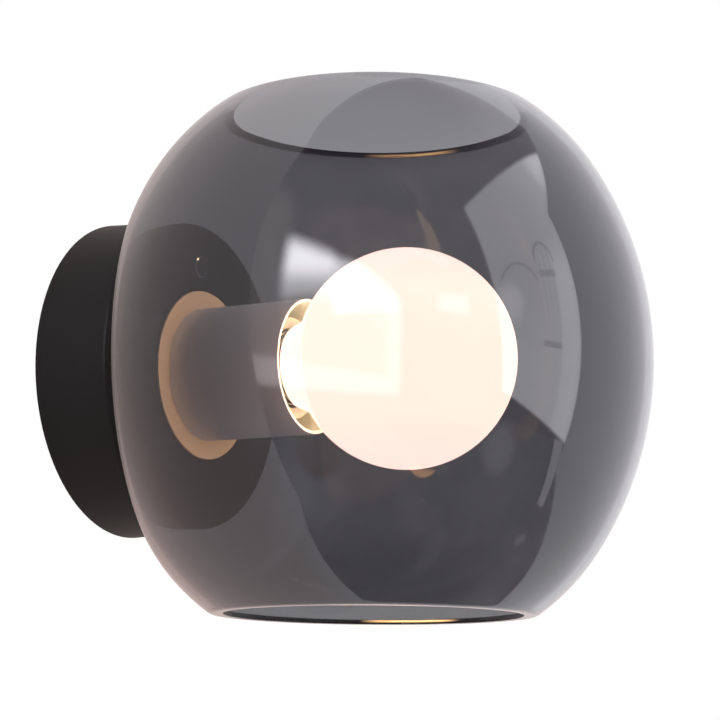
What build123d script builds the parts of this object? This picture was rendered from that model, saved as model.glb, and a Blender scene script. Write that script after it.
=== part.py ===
"""Globe wall sconce: round canopy on a wall plate, short arm tube with a lamp holder, smoked glass globe.

Frame: millimetres, +Z up. The wall is the plane Y = 0 and the lamp stands out from it along -Y.
The origin is the middle of the wall plate's back, on the axis of the arm, which is the line X = Z = 0.
"""

import math
import os

from build123d import *

# ---- Driving dimensions, mm ----
CANOPY_DIA = 120.0
CANOPY_DEPTH = 30.0
CANOPY_DRAFT = 1.6
CANOPY_WALL = 1.5
CANOPY_FACE = 2.0
CANOPY_EDGE = 2.0

PLATE_DIA = 108.0
PLATE_THICK = 1.5
WALL_HOLE_SPACING = 60.0
WALL_SLOT_LENGTH = 12.0
WALL_SLOT_WIDTH = 5.0
CABLE_HOLE_DIA = 14.0
CABLE_BORE_DIA = 8.0
TAB_Z = -49.75
TAB_SLOT_BACK = 6.5
TAB_SLOT_FRONT = 10.0

FACE_SCREW_Z = 42.0
FACE_SCREW_HEAD_DIA = 8.2
FACE_SCREW_HEAD = 2.2
FACE_SCREW_SHANK_DIA = 4.0
STUD_SPIGOT_DIA = 5.0

GLOBE_DIA = 201.0
GLOBE_HEIGHT = 184.0
GLOBE_WALL = 3.0
GLOBE_BARREL_RADIUS = 128.0
GLOBE_SHOULDER_RADIUS = 85.0
GLOBE_SHOULDER_Z = 68.0
GLOBE_FLAT_OFFSET = 77.3
GLOBE_FLAT_BLEND = 45.0
GLOBE_RIM_ROUND = 0.6
GLOBE_HOLE_DIA = 45.2

REAR_GASKET = 0.4
FRONT_GASKET = 0.3
RING_DIA = 64.0
RING_THICK = 0.8

COLLAR_DIA = 44.0
COLLAR_WALL = 1.5
COLLAR_LENGTH = 12.5

TUBE_DIA = 50.0
TUBE_WALL = 1.2
TUBE_LENGTH = 46.8
TUBE_LAND = 8.5
RUNNING_FIT = 0.06

BULB_DIA = 80.0
BULB_CENTRE = 120.5
BULB_GLASS = 1.2
BULB_FLARE = 22.0
BULB_FLARE_Y = 70.4
BULB_SHOULDER_Y = 76.6
BULB_TAIL_Y = 62.0
BULB_TIP_Y = 48.5

STEM_BACK_Y = 62.5
STEM_ROD_DIA = 3.2
FILAMENT_COUNT = 6
FILAMENT_CIRCLE = 15.0
FILAMENT_LENGTH = 38.0
FILAMENT_BACK_Y = 91.0

NIPPLE_DIA = 10.0
NIPPLE_BORE = 7.0
LEAD_DIA = 2.2
CORE_DIA = 1.2

# ---- Places along the arm, measured as distance in front of the wall ----
FACE_Y = CANOPY_DEPTH
GLASS_BACK_Y = FACE_Y + REAR_GASKET
GLASS_FRONT_Y = GLASS_BACK_Y + GLOBE_WALL
RING_BACK_Y = GLASS_FRONT_Y + FRONT_GASKET
TUBE_BACK_Y = RING_BACK_Y + RING_THICK
TUBE_FRONT_Y = TUBE_BACK_Y + TUBE_LENGTH
GLOBE_CENTRE_Y = GLASS_BACK_Y + GLOBE_FLAT_OFFSET

# The lamp holder, from its back on the collar's floor to its front lip
HOLDER_DIA = 38.0
HOLDER_BACK_Y = FACE_Y + COLLAR_WALL
HOLDER_JOINT_Y = 43.0
HOLDER_FLOOR_Y = 46.0
HOLDER_FRONT_Y = 73.0
HOLDER_BORE_DIA = 29.2
HOLDER_WALL = 1.5
SHELL_BORE_DIA = 26.6
SHELL_WALL = 0.5
SHELL_BACK_Y = 50.5
SHELL_FRONT_Y = 72.5
POST_X = 4.5
POST_BACK_Y = 41.3

# The bulb's screw cap
CAP_CREST_DIA = 26.4
CAP_ROOT_DIA = 25.0
CAP_BORE_DIA = 24.0
CAP_HOLE_DIA = 18.8
CAP_PITCH = 3.629
CAP_TURNS = 5
CAP_THREAD_Y = 73.6
CAP_FRONT_Y = 76.4
CAP_BACK_Y = 52.5
TIP_FRONT_Y = 49.8

# Pieces inside the canopy
NIPPLE_BACK_Y = 16.0
NIPPLE_FRONT_Y = 34.2
WASHER_THICK = 0.8
NUT_FLATS = 14.0
NUT_THICK = 3.0
BLOCK_TOP_Z = -25.5
BLOCK_HEIGHT = 16.0
BLOCK_WIDTH = 21.0
BLOCK_DEPTH = 10.5
TOWER_HEIGHT = 3.5
INSERT_DIA = 5.2
INSERT_BORE = 3.4
POLE_X = 5.0
POLE_Y = 8.5
EARTH_SCREW_X = -20.0
EARTH_SCREW_Z = -18.0
EARTH_TAB_REACH = 8.0

CLEARANCE = 0.1


def turned(profile):
    """A solid of revolution about the arm's axis from (radius, distance from the wall) corners."""
    with BuildPart() as made:
        with BuildSketch(Plane.XY):
            with BuildLine():
                Polyline([(radius, -out) for radius, out in profile], close=True)
            make_face()
        revolve(axis=Axis.Y)
    return made.part


def ring(inner_dia, outer_dia, back, front):
    """A plain round ring, or a disc when inner_dia is 0, between two distances from the wall."""
    inner, outer = inner_dia / 2, outer_dia / 2
    return turned([(inner, back), (outer, back), (outer, front), (inner, front)])


def rod(x, z, dia, back, front):
    """A round bar parallel to the arm's axis."""
    return Pos(x, 0, z) * ring(0, dia, back, front)


def block(x, z, width, height, back, front):
    """A box centred on x and z, between two distances from the wall."""
    return Pos(x, -(back + front) / 2, z) * Box(width, front - back, height)


def hexagon(x, z, flats, back, front):
    """A hexagonal bar parallel to the arm's axis."""
    outline = Plane((x, -back, z), z_dir=(0, -1, 0)) * RegularPolygon(flats / 2, 6, major_radius=False)
    return extrude(outline, front - back)


def circle_edges(part, out, dia):
    """The part's round edges of one diameter, centred on the arm's axis, at one distance from the wall."""
    return [
        edge
        for edge in part.edges().filter_by(GeomType.CIRCLE)
        if abs(edge.center().Y + out) < 1e-3 and abs(edge.radius - dia / 2) < 1e-3
    ]


# ---- Wall plate and what it carries ----


def wall_plate():
    """Steel disc on the wall: two screw slots, a cable hole, and a slotted tab for the canopy's foot."""
    plate = ring(0, PLATE_DIA, 0, PLATE_THICK)
    for side in (-1, 1):
        place = Plane((side * WALL_HOLE_SPACING / 2, 0, 0), x_dir=(1, 0, 0), z_dir=(0, -1, 0))
        plate -= extrude(place * SlotOverall(WALL_SLOT_LENGTH, WALL_SLOT_WIDTH), PLATE_THICK)
    plate -= rod(0, 0, CABLE_HOLE_DIA, 0, PLATE_THICK)
    plate -= rod(0, FACE_SCREW_Z, STUD_SPIGOT_DIA + CLEARANCE, 0, PLATE_THICK)
    plate -= rod(0, BLOCK_TOP_Z - BLOCK_HEIGHT / 2, 3.0, 0, PLATE_THICK)
    plate -= rod(EARTH_SCREW_X, EARTH_SCREW_Z, 4.0, 0, PLATE_THICK)
    tab = block(0, TAB_Z, 16.0, PLATE_THICK, PLATE_THICK, 13.0)
    tab -= block(0, TAB_Z, 10.0, 2 * PLATE_THICK, TAB_SLOT_BACK, TAB_SLOT_FRONT)
    return plate + tab


def plate_stud():
    """Hexagonal standoff riveted into the plate, tapped for the screw in the canopy's face."""
    front = FACE_Y - FACE_SCREW_HEAD - 2.6
    stud = hexagon(0, FACE_SCREW_Z, 8.0, PLATE_THICK, front)
    stud += rod(0, FACE_SCREW_Z, STUD_SPIGOT_DIA, 0, PLATE_THICK)
    return stud - rod(0, FACE_SCREW_Z, FACE_SCREW_SHANK_DIA + CLEARANCE, 11.0, front)


def cable_grommet():
    """Rubber bush in the cable hole, with a rounded flange on the canopy's side."""
    lip = 3.6
    bore, body, flange = CABLE_BORE_DIA / 2, CABLE_HOLE_DIA / 2 - CLEARANCE, 9.5
    in_plate = [(bore, 0), (body, 0), (body, PLATE_THICK)]
    over_plate = [(flange, PLATE_THICK), (flange, lip), (bore, lip)]
    bush = turned(in_plate + over_plate)
    return fillet(circle_edges(bush, lip, 2 * flange) + circle_edges(bush, lip, CABLE_BORE_DIA), 0.8)


def terminal_block():
    """Moulded two-pole terminal strip with a tower round each screw."""
    mid_z = BLOCK_TOP_Z - BLOCK_HEIGHT / 2
    base_front = PLATE_THICK + BLOCK_DEPTH
    tower_front = base_front + TOWER_HEIGHT
    body = block(0, mid_z, BLOCK_WIDTH, BLOCK_HEIGHT, PLATE_THICK, base_front)
    body = fillet(body.edges().filter_by(Axis.Y), 1.0)
    for x, z in screw_places():
        body += rod(x, z, 6.6, base_front, tower_front)
    for x, z in screw_places():
        body -= rod(x, z, 3.9, POLE_Y, tower_front)
    for x in (-POLE_X, POLE_X):
        body -= Pos(x, -POLE_Y, mid_z) * Cylinder(INSERT_DIA / 2 + 0.05, BLOCK_HEIGHT)
    return body - rod(0, mid_z, 3.2, PLATE_THICK, base_front)


def screw_places():
    """Where the terminal strip's four screws stand, as (x, z)."""
    mid_z = BLOCK_TOP_Z - BLOCK_HEIGHT / 2
    return [(x, mid_z + z) for x in (-POLE_X, POLE_X) for z in (-4.3, 4.3)]


def terminal_inserts():
    """The strip's two brass tubes, cross-drilled for the screws."""
    mid_z = BLOCK_TOP_Z - BLOCK_HEIGHT / 2
    tubes = []
    for x in (-POLE_X, POLE_X):
        length = BLOCK_HEIGHT - 1.0
        tube = Cylinder(INSERT_DIA / 2, length) - Cylinder(INSERT_BORE / 2, length)
        tube = Pos(x, -POLE_Y, mid_z) * tube
        for z in (-4.3, 4.3):
            tube -= rod(x, mid_z + z, 3.0, POLE_Y, POLE_Y + 5.0)
        tubes.append(tube)
    return Compound(children=tubes)


def slotted_screw(x, z, head_dia, head_back, head_front, shank_dia, tip):
    """Cheese-head screw: a slotted head between two distances from the wall and a shank back to its tip."""
    slot_depth = 0.45 * (head_front - head_back)
    screw = rod(x, z, head_dia, head_back, head_front)
    rims = [edge for edge in screw.edges() if abs(edge.center().Y + head_front) < 1e-3]
    screw = chamfer(rims, 0.25)
    screw += rod(x, z, shank_dia, tip, head_back)
    return screw - block(x, z, head_dia + 1.0, 0.18 * head_dia, head_front - slot_depth, head_front + 0.5)


def terminal_screws():
    """The four clamp screws, their tips on the wires in the brass tubes."""
    front = PLATE_THICK + BLOCK_DEPTH + TOWER_HEIGHT - 0.7
    head_back, tip = front - 1.8, POLE_Y + 0.7
    screws = [slotted_screw(x, z, 3.6, head_back, front, 2.8, tip) for x, z in screw_places()]
    return Compound(children=screws)


def block_screw():
    """Screw that holds the terminal strip on the plate."""
    base_front = PLATE_THICK + BLOCK_DEPTH
    return slotted_screw(0, BLOCK_TOP_Z - BLOCK_HEIGHT / 2, 4.6, base_front, base_front + 2.0, 2.9, 0)


def earth_tab_direction():
    """Unit vector, in x and z, from the plate's earth screw to its tab's barrel."""
    return (-0.8, -0.6)


def plate_earth_tab():
    """Flag tab under the plate's earth screw, with an upright barrel for the wire."""
    dx, dz = earth_tab_direction()
    thick = 0.8
    tab = rod(EARTH_SCREW_X, EARTH_SCREW_Z, 9.0, PLATE_THICK, PLATE_THICK + thick)
    x, z = EARTH_SCREW_X + dx * EARTH_TAB_REACH, EARTH_SCREW_Z + dz * EARTH_TAB_REACH
    turn = Rot(Y=math.degrees(math.atan2(-dz, dx)))
    strap = Box(EARTH_TAB_REACH, thick, 4.0)
    middle = ((EARTH_SCREW_X + x) / 2, -(PLATE_THICK + thick / 2), (EARTH_SCREW_Z + z) / 2)
    tab += Pos(*middle) * turn * strap
    tab += rod(x, z, 4.2, PLATE_THICK, 8.0)
    tab -= rod(x, z, LEAD_DIA + 2 * CLEARANCE, 3.0, 8.0)
    return tab - rod(EARTH_SCREW_X, EARTH_SCREW_Z, 4.3, PLATE_THICK, PLATE_THICK + thick)


def earth_screw():
    """Earth screw in the plate."""
    return slotted_screw(EARTH_SCREW_X, EARTH_SCREW_Z, 7.4, PLATE_THICK + 0.8, PLATE_THICK + 3.4, 3.9, 0)


# ---- Canopy ----


def canopy():
    """Turned steel cup: drafted sides, a rounded front edge, a screw recess and a foot at its bottom."""
    back, front = CANOPY_DIA / 2, CANOPY_DIA / 2 - CANOPY_DRAFT
    inner_face = FACE_Y - CANOPY_FACE
    inner_front = front - CANOPY_WALL + CANOPY_DRAFT * CANOPY_FACE / CANOPY_DEPTH
    outside = [(back, 0), (front, FACE_Y), (0, FACE_Y)]
    cup = turned(outside + [(0, inner_face), (inner_front, inner_face), (back - CANOPY_WALL, 0)])
    cup = fillet(circle_edges(cup, FACE_Y, 2 * front), CANOPY_EDGE)
    boss_back = FACE_Y - 4.6
    recess_back = FACE_Y - FACE_SCREW_HEAD - 0.2
    cup += rod(0, FACE_SCREW_Z, 14.0, boss_back, inner_face)
    cup -= rod(0, FACE_SCREW_Z, FACE_SCREW_HEAD_DIA + 0.6, recess_back, FACE_Y)
    cup -= rod(0, FACE_SCREW_Z, FACE_SCREW_SHANK_DIA + 3 * CLEARANCE, boss_back, recess_back)
    cup -= rod(0, 0, NIPPLE_DIA + 2 * CLEARANCE, inner_face, FACE_Y)
    foot_reach, foot_top = 13.0, TAB_Z + 3.75
    foot = block(0, foot_top - foot_reach / 2, 9.0, foot_reach, TAB_SLOT_BACK + 0.5, TAB_SLOT_FRONT - 0.5)
    return cup + foot


def canopy_screw():
    """Flush cap screw with a hexagonal socket, through the canopy's face into the stud."""
    front = FACE_Y - 0.1
    head_back = FACE_Y - FACE_SCREW_HEAD - 0.2
    screw = rod(0, FACE_SCREW_Z, FACE_SCREW_HEAD_DIA, head_back, front)
    rims = [edge for edge in screw.edges() if abs(edge.center().Y + front) < 1e-3]
    screw = fillet(rims, 0.4)
    screw += rod(0, FACE_SCREW_Z, FACE_SCREW_SHANK_DIA, 13.0, head_back)
    return screw - hexagon(0, FACE_SCREW_Z, 2.5, front - 1.3, front)


# ---- Hollow threaded nipple and what it clamps ----


def threaded_nipple():
    """Hollow threaded tube that carries the collar and the lamp holder, and lets the leads through."""
    return ring(NIPPLE_BORE, NIPPLE_DIA, NIPPLE_BACK_Y, NIPPLE_FRONT_Y)


def lock_washer():
    """Washer against the inside of the canopy's face."""
    front = FACE_Y - CANOPY_FACE
    return ring(NIPPLE_DIA + 2 * CLEARANCE, 18.0, front - WASHER_THICK, front)


def nipple_earth_place():
    """Middle of the nipple tab's barrel as (x, distance from the wall, z)."""
    reach = 12.5
    tab_x, tab_z = plate_barrel()
    length = math.hypot(tab_x, tab_z)
    return (reach * tab_x / length, FACE_Y - 4.2, reach * tab_z / length)


def plate_barrel():
    """Where the plate tab's barrel stands, as (x, z)."""
    dx, dz = earth_tab_direction()
    return (EARTH_SCREW_X + dx * EARTH_TAB_REACH, EARTH_SCREW_Z + dz * EARTH_TAB_REACH)


def nipple_earth_tab():
    """Earth tab under the nut, its barrel pointing at the plate's earth screw."""
    front = FACE_Y - CANOPY_FACE - WASHER_THICK
    x, out, z = nipple_earth_place()
    heading = Vector(x, 0, z).normalized()
    turn = math.degrees(math.atan2(-z, x))
    strap_length = math.hypot(x, z)
    tab = ring(NIPPLE_DIA + 2 * CLEARANCE, 16.0, front - WASHER_THICK, front)
    strap = Box(strap_length - 6.0, WASHER_THICK, 4.0)
    strap_mid = heading * ((strap_length + 6.0) / 2)
    tab += Pos(strap_mid.X, -(front - WASHER_THICK / 2), strap_mid.Z) * Rot(Y=turn) * strap
    barrel = Cylinder(1.7, 4.0) - Pos(0, 0, 1.0) * Cylinder(LEAD_DIA / 2 + CLEARANCE, 2.0)
    barrel_plane = Plane((x, -out, z), z_dir=heading)
    return tab + barrel_plane * barrel


def nipple_nut():
    """Hexagonal nut inside the canopy."""
    front = FACE_Y - CANOPY_FACE - 2 * WASHER_THICK
    nut = hexagon(0, 0, NUT_FLATS, front - NUT_THICK, front)
    return nut - ring(0, NIPPLE_DIA + RUNNING_FIT, front - NUT_THICK, front)


def neck_collar():
    """Threaded cup on the canopy's face: the globe hangs on it and the arm tube screws onto it."""
    front = FACE_Y + COLLAR_LENGTH
    outer, inner = COLLAR_DIA / 2, COLLAR_DIA / 2 - COLLAR_WALL
    floor = FACE_Y + COLLAR_WALL
    hole = NIPPLE_DIA / 2 + CLEARANCE
    outside = [(hole, FACE_Y), (outer, FACE_Y), (outer, front)]
    cup = turned(outside + [(inner, front), (inner, floor), (hole, floor)])
    return chamfer(circle_edges(cup, front, COLLAR_DIA), 0.5)


# ---- Glass and its clamp ----


def globe_solid(inset):
    """The globe's outer form moved in by inset: a barrel turned about Z, pressed flat at the wall."""
    barrel, shoulder = GLOBE_BARREL_RADIUS - inset, GLOBE_SHOULDER_RADIUS - inset
    barrel_r = GLOBE_DIA / 2 - GLOBE_BARREL_RADIUS
    lean = math.asin(GLOBE_SHOULDER_Z / GLOBE_BARREL_RADIUS)
    step = GLOBE_BARREL_RADIUS - GLOBE_SHOULDER_RADIUS
    shoulder_r, shoulder_z = barrel_r + step * math.cos(lean), step * math.sin(lean)
    top = GLOBE_HEIGHT / 2 + (2.0 if inset else 0.0)
    start = math.degrees(lean)
    end = math.degrees(math.asin((top - shoulder_z) / shoulder))
    with BuildPart() as made:
        with BuildSketch(Plane.XZ):
            with BuildLine():
                CenterArc((barrel_r, 0), barrel, -start, 2 * start)
                upper = CenterArc((shoulder_r, shoulder_z), shoulder, start, end - start)
                lower = CenterArc((shoulder_r, -shoulder_z), shoulder, -end, end - start)
                Polyline(upper @ 1, (0, top), (0, -top), lower @ 0)
            make_face()
        revolve(axis=Axis.Z)
    flat = GLOBE_FLAT_OFFSET - inset
    pressed = made.part - Pos(0, flat + GLOBE_DIA, 0) * Box(2 * GLOBE_DIA, 2 * GLOBE_DIA, 2 * GLOBE_DIA)
    edges = [edge for edge in pressed.edges() if abs(edge.center().Y - flat) < 1e-3]
    return fillet(edges, GLOBE_FLAT_BLEND - inset)


def globe_shade():
    """Smoked glass globe, open at top and bottom, with a round hole in the flat that meets the canopy."""
    shade = globe_solid(0.0) - globe_solid(GLOBE_WALL)
    rims = [edge for edge in shade.edges() if abs(abs(edge.center().Z) - GLOBE_HEIGHT / 2) < 1e-3]
    shade = fillet(rims, GLOBE_RIM_ROUND)
    shade = Pos(0, -GLOBE_CENTRE_Y, 0) * shade
    return shade - ring(0, GLOBE_HOLE_DIA, GLASS_BACK_Y - 1.0, GLASS_FRONT_Y + 1.0)


def rear_gasket():
    """Silicone ring between the canopy's face and the glass."""
    return ring(GLOBE_HOLE_DIA, 60.0, FACE_Y, GLASS_BACK_Y)


def front_gasket():
    """Silicone ring between the glass and the shade ring."""
    return ring(GLOBE_HOLE_DIA, RING_DIA - 1.0, GLASS_FRONT_Y, RING_BACK_Y)


def shade_ring():
    """Flat ring that spreads the arm tube's clamp on the glass."""
    plate = ring(COLLAR_DIA + 0.6, RING_DIA, RING_BACK_Y, TUBE_BACK_Y)
    return fillet(circle_edges(plate, TUBE_BACK_Y, RING_DIA), 0.25)


def arm_tube():
    """Round tube, threaded inside its back end, that screws onto the collar and hides the lamp holder."""
    outer, inner = TUBE_DIA / 2, TUBE_DIA / 2 - TUBE_WALL
    land = COLLAR_DIA / 2 + RUNNING_FIT
    land_front = TUBE_BACK_Y + TUBE_LAND
    tube = turned(
        [
            (land, TUBE_BACK_Y),
            (outer, TUBE_BACK_Y),
            (outer, TUBE_FRONT_Y),
            (inner, TUBE_FRONT_Y),
            (inner, land_front),
            (land, land_front),
        ]
    )
    mouth = circle_edges(tube, TUBE_FRONT_Y, TUBE_DIA) + circle_edges(tube, TUBE_FRONT_Y, 2 * inner)
    tube = fillet(mouth, 0.3)
    return fillet(circle_edges(tube, TUBE_BACK_Y, TUBE_DIA), 0.3)


# ---- Lamp holder ----


def holder_back():
    """Back half of the lamp holder: a cup on the nipple that covers the terminals."""
    outer, inner = HOLDER_DIA / 2, HOLDER_DIA / 2 - HOLDER_WALL
    floor = HOLDER_BACK_Y + 2.5
    hole = NIPPLE_DIA / 2 + RUNNING_FIT
    cup = turned(
        [
            (hole, HOLDER_BACK_Y),
            (outer, HOLDER_BACK_Y),
            (outer, HOLDER_JOINT_Y),
            (inner, HOLDER_JOINT_Y),
            (inner, floor),
            (hole, floor),
        ]
    )
    return fillet(circle_edges(cup, HOLDER_BACK_Y, HOLDER_DIA), 1.2)


def holder_front():
    """Front half: a floor for the contacts, a bore round the threaded shell and a rounded lip."""
    outer, bore = HOLDER_DIA / 2, HOLDER_BORE_DIA / 2
    body = turned(
        [
            (0, HOLDER_JOINT_Y),
            (outer, HOLDER_JOINT_Y),
            (outer, HOLDER_FRONT_Y),
            (bore, HOLDER_FRONT_Y),
            (bore, HOLDER_FLOOR_Y),
            (0, HOLDER_FLOOR_Y),
        ]
    )
    outer_lip = circle_edges(body, HOLDER_FRONT_Y, HOLDER_DIA)
    lip = outer_lip + circle_edges(body, HOLDER_FRONT_Y, HOLDER_BORE_DIA)
    body = fillet(lip, 0.8)
    for side in (-1, 1):
        body -= block(side * POST_X, 0, 3.2, 3.2, HOLDER_JOINT_Y, HOLDER_FLOOR_Y)
    return body


def holder_posts():
    """Two brass posts through the holder's floor, drilled from behind for the leads' bare ends."""
    posts = []
    for side in (-1, 1):
        post = block(side * POST_X, 0, 3.0, 3.0, POST_BACK_Y, HOLDER_FLOOR_Y)
        posts.append(post - rod(side * POST_X, 0, CORE_DIA + 2 * CLEARANCE, POST_BACK_Y, POST_BACK_Y + 2.8))
    return Compound(children=posts)


def holder_shell():
    """Sheet-metal shell that takes the bulb's thread, with a rolled front edge."""
    inner = SHELL_BORE_DIA / 2
    outer = inner + SHELL_WALL
    return turned(
        [
            (10.5, SHELL_BACK_Y),
            (outer, SHELL_BACK_Y),
            (outer, SHELL_FRONT_Y),
            (inner, SHELL_FRONT_Y),
            (inner, SHELL_BACK_Y + SHELL_WALL),
            (10.5, SHELL_BACK_Y + SHELL_WALL),
        ]
    )


def centre_contact():
    """Springy strip from the live post to the bulb's tip: a foot on the floor and a raised tongue."""
    thick, wide = 0.6, 4.0
    foot_end, knee, tongue_end = POST_X + 1.4, 3.2, -3.4
    floor, tip = HOLDER_FLOOR_Y, BULB_TIP_Y
    outline = [
        (foot_end, -floor),
        (knee, -floor),
        (knee - 1.4, -(tip - thick)),
        (tongue_end, -(tip - thick)),
        (tongue_end, -tip),
        (knee - 1.0, -tip),
        (knee + 0.5, -(floor + thick)),
        (foot_end, -(floor + thick)),
    ]
    with BuildPart() as made:
        with BuildSketch(Plane.XY):
            with BuildLine():
                Polyline(outline, close=True)
            make_face()
        extrude(amount=wide / 2, both=True)
    return made.part


def side_contact():
    """Bent strip from the neutral post to the outside of the threaded shell."""
    thick, wide, front = 0.5, 4.0, 62.0
    outer = SHELL_BORE_DIA / 2 + SHELL_WALL + 0.05 + thick
    inner = POST_X - 1.4
    foot = block(-(outer + inner) / 2, 0, outer - inner, wide, HOLDER_FLOOR_Y, HOLDER_FLOOR_Y + thick)
    riser = block(-(outer - thick / 2), 0, thick, wide, HOLDER_FLOOR_Y, front)
    return foot + riser


# ---- Leads ----


def lead(route, radii, bare=None):
    """An insulated lead along straight runs joined by arcs; bare is the length of core past each end."""
    path = FilletPolyline(*route, radius=radii)
    start = Plane(path @ 0, z_dir=path % 0)
    made = sweep(start * Circle(LEAD_DIA / 2), path)
    measured, expected = made.volume, math.pi * LEAD_DIA**2 / 4 * path.length
    print("lead length", round(path.length, 1), "volume ratio", round(measured / expected, 4))
    for end, out in ((path @ 0, -(path % 0)), (path @ 1, path % 1)):
        if bare:
            core = Solid.make_cylinder(CORE_DIA / 2, bare, Plane(end, z_dir=out))
            made += core
    return made


def fixture_lead(side):
    """The live or neutral lead: from its post in the lamp holder, through the nipple, to its pole."""
    in_nipple = 1.5
    route = [
        (side * POST_X, -(POST_BACK_Y - 0.1), 0),
        (side * POST_X, -39.5, 0),
        (side * in_nipple, -33.5, 0),
        (side * in_nipple, -9.4, 0),
        (side * POLE_X, -POLE_Y, -16.0),
        (side * POLE_X, -POLE_Y, -27.5),
    ]
    return lead(route, [6.6, 6.6, 7.5, 11.0], bare=2.6)


def earth_wire():
    """The lead that joins the nipple's earth tab to the plate's."""
    x, out, z = nipple_earth_place()
    heading = Vector(x, 0, z).normalized()
    start = Vector(x, -out, z) + heading * 0.1
    barrel_x, barrel_z = plate_barrel()
    route = [tuple(start), (barrel_x, -out, barrel_z), (barrel_x, -3.2, barrel_z)]
    return lead(route, [8.0])


# ---- Bulb ----


def bulb_solid(inset):
    """The bulb's outer form moved in by inset: a ball, a flared neck, a shoulder and a straight tail."""
    ball, flare = BULB_DIA / 2 - inset, BULB_FLARE + inset
    reach = (BULB_DIA / 2 + BULB_FLARE) ** 2
    flare_r = math.sqrt(reach - (BULB_CENTRE - BULB_FLARE_Y) ** 2)
    lean = math.degrees(math.atan2(BULB_CENTRE - BULB_FLARE_Y, flare_r))
    shoulder_y = -(BULB_SHOULDER_Y + inset)
    rise = math.degrees(math.asin((-shoulder_y - BULB_FLARE_Y) / flare))
    tail_r = CAP_BORE_DIA / 2 - CLEARANCE - inset
    with BuildPart() as made:
        with BuildSketch(Plane.XY):
            with BuildLine():
                CenterArc((0, -BULB_CENTRE), ball, -90, 90 + lean)
                neck = CenterArc((flare_r, -BULB_FLARE_Y), flare, 180 + lean, rise - lean)
                Polyline(
                    neck @ 1,
                    (tail_r + 1.5, shoulder_y),
                    (tail_r, shoulder_y + 2.4),
                    (tail_r, -BULB_TAIL_Y),
                    (0, -BULB_TAIL_Y),
                    (0, -BULB_CENTRE - ball),
                )
            make_face()
        revolve(axis=Axis.Y)
    return made.part


def bulb_glass():
    """Opal bulb: an 80 mm ball with a flared neck, hollow, its open tail inside the screw cap."""
    return bulb_solid(0.0) - bulb_solid(BULB_GLASS)


def bulb_cap():
    """Screw cap: a flared front edge, thread ridges at the standard pitch and a narrowed back."""
    crest, root, bore = CAP_CREST_DIA / 2, CAP_ROOT_DIA / 2, CAP_BORE_DIA / 2
    hole, back = CAP_HOLE_DIA / 2, CAP_BACK_Y
    outline = [(crest + 0.6, CAP_FRONT_Y), (crest + 1.1, CAP_FRONT_Y - 0.2), (crest, CAP_THREAD_Y)]
    out = CAP_THREAD_Y - 1.2
    outline += [(root, out)]
    for _ in range(CAP_TURNS):
        for part, radius in ((0.22, root), (0.38, crest), (0.62, crest), (0.78, root)):
            outline.append((radius, out - part * CAP_PITCH))
        out -= CAP_PITCH
    outline += [(root, back + 0.8), (root - 1.2, back), (hole, back)]
    outline += [(hole, back + 0.6), (bore, back + 1.6), (bore, CAP_THREAD_Y + 0.6)]
    return turned(outline)


def bulb_insulator():
    """Dark glass cone between the cap and the tip contact."""
    rim, rim_back, rim_front = CAP_HOLE_DIA / 2 - CLEARANCE, CAP_BACK_Y - 0.1, CAP_BACK_Y + 0.6
    return turned([(0, rim_front), (rim, rim_front), (rim, rim_back), (5.6, TIP_FRONT_Y), (0, TIP_FRONT_Y)])


def bulb_tip():
    """Tip contact: a low brass button."""
    back = BULB_TIP_Y
    return turned([(0, TIP_FRONT_Y), (5.2, TIP_FRONT_Y), (4.6, back + 0.5), (3.4, back), (0, back)])


def bulb_stem():
    """Glass stem: a foot sealed in the bulb's tail, a tube and a slim rod up into the ball."""
    foot, tube = CAP_BORE_DIA / 2 - CLEARANCE - BULB_GLASS - 0.02, 4.2
    back, tube_back, tube_front, rod_front = STEM_BACK_Y, 70.0, 86.0, 132.0
    return turned(
        [
            (0, back),
            (foot, back),
            (foot, back + 1.0),
            (tube, tube_back),
            (tube, tube_front),
            (STEM_ROD_DIA / 2, tube_front + 2.0),
            (STEM_ROD_DIA / 2, rod_front),
            (0, rod_front),
        ]
    )


def filament_places():
    """Where the filaments stand round the stem, as angles in degrees."""
    return [index * 360 / FILAMENT_COUNT for index in range(FILAMENT_COUNT)]


def led_filaments():
    """Slim filaments in a circle round the stem."""
    back = FILAMENT_BACK_Y
    bar = rod(FILAMENT_CIRCLE / 2, 0, 1.8, back, back + FILAMENT_LENGTH)
    return Compound(children=[Rot(Y=angle) * bar for angle in filament_places()])


def filament_spiders():
    """Two wire spiders on the stem's rod that carry the filaments' ends."""
    thick = 0.7
    spiders = []
    for back in (FILAMENT_BACK_Y - thick, FILAMENT_BACK_Y + FILAMENT_LENGTH):
        spider = ring(STEM_ROD_DIA + 2 * CLEARANCE, 5.6, back, back + thick)
        for angle in filament_places():
            spoke = block(FILAMENT_CIRCLE / 4 + 1.5, 0, FILAMENT_CIRCLE / 2 - 2.0, 0.7, back, back + thick)
            spider += Rot(Y=angle) * spoke
        spiders.append(spider)
    return Compound(children=spiders)


def driver_board():
    """Narrow circuit board with its capacitor, between the stem's foot and the cap's tip."""
    thick, capacitor_r = 1.4, 2.6
    board = block(0, 0, 15.0, thick, 54.6, STEM_BACK_Y)
    capacitor = Rot(Y=90) * Cylinder(capacitor_r, 8.0)
    return board + Pos(0, -58.4, thick / 2 + capacitor_r - 0.1) * capacitor


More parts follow.
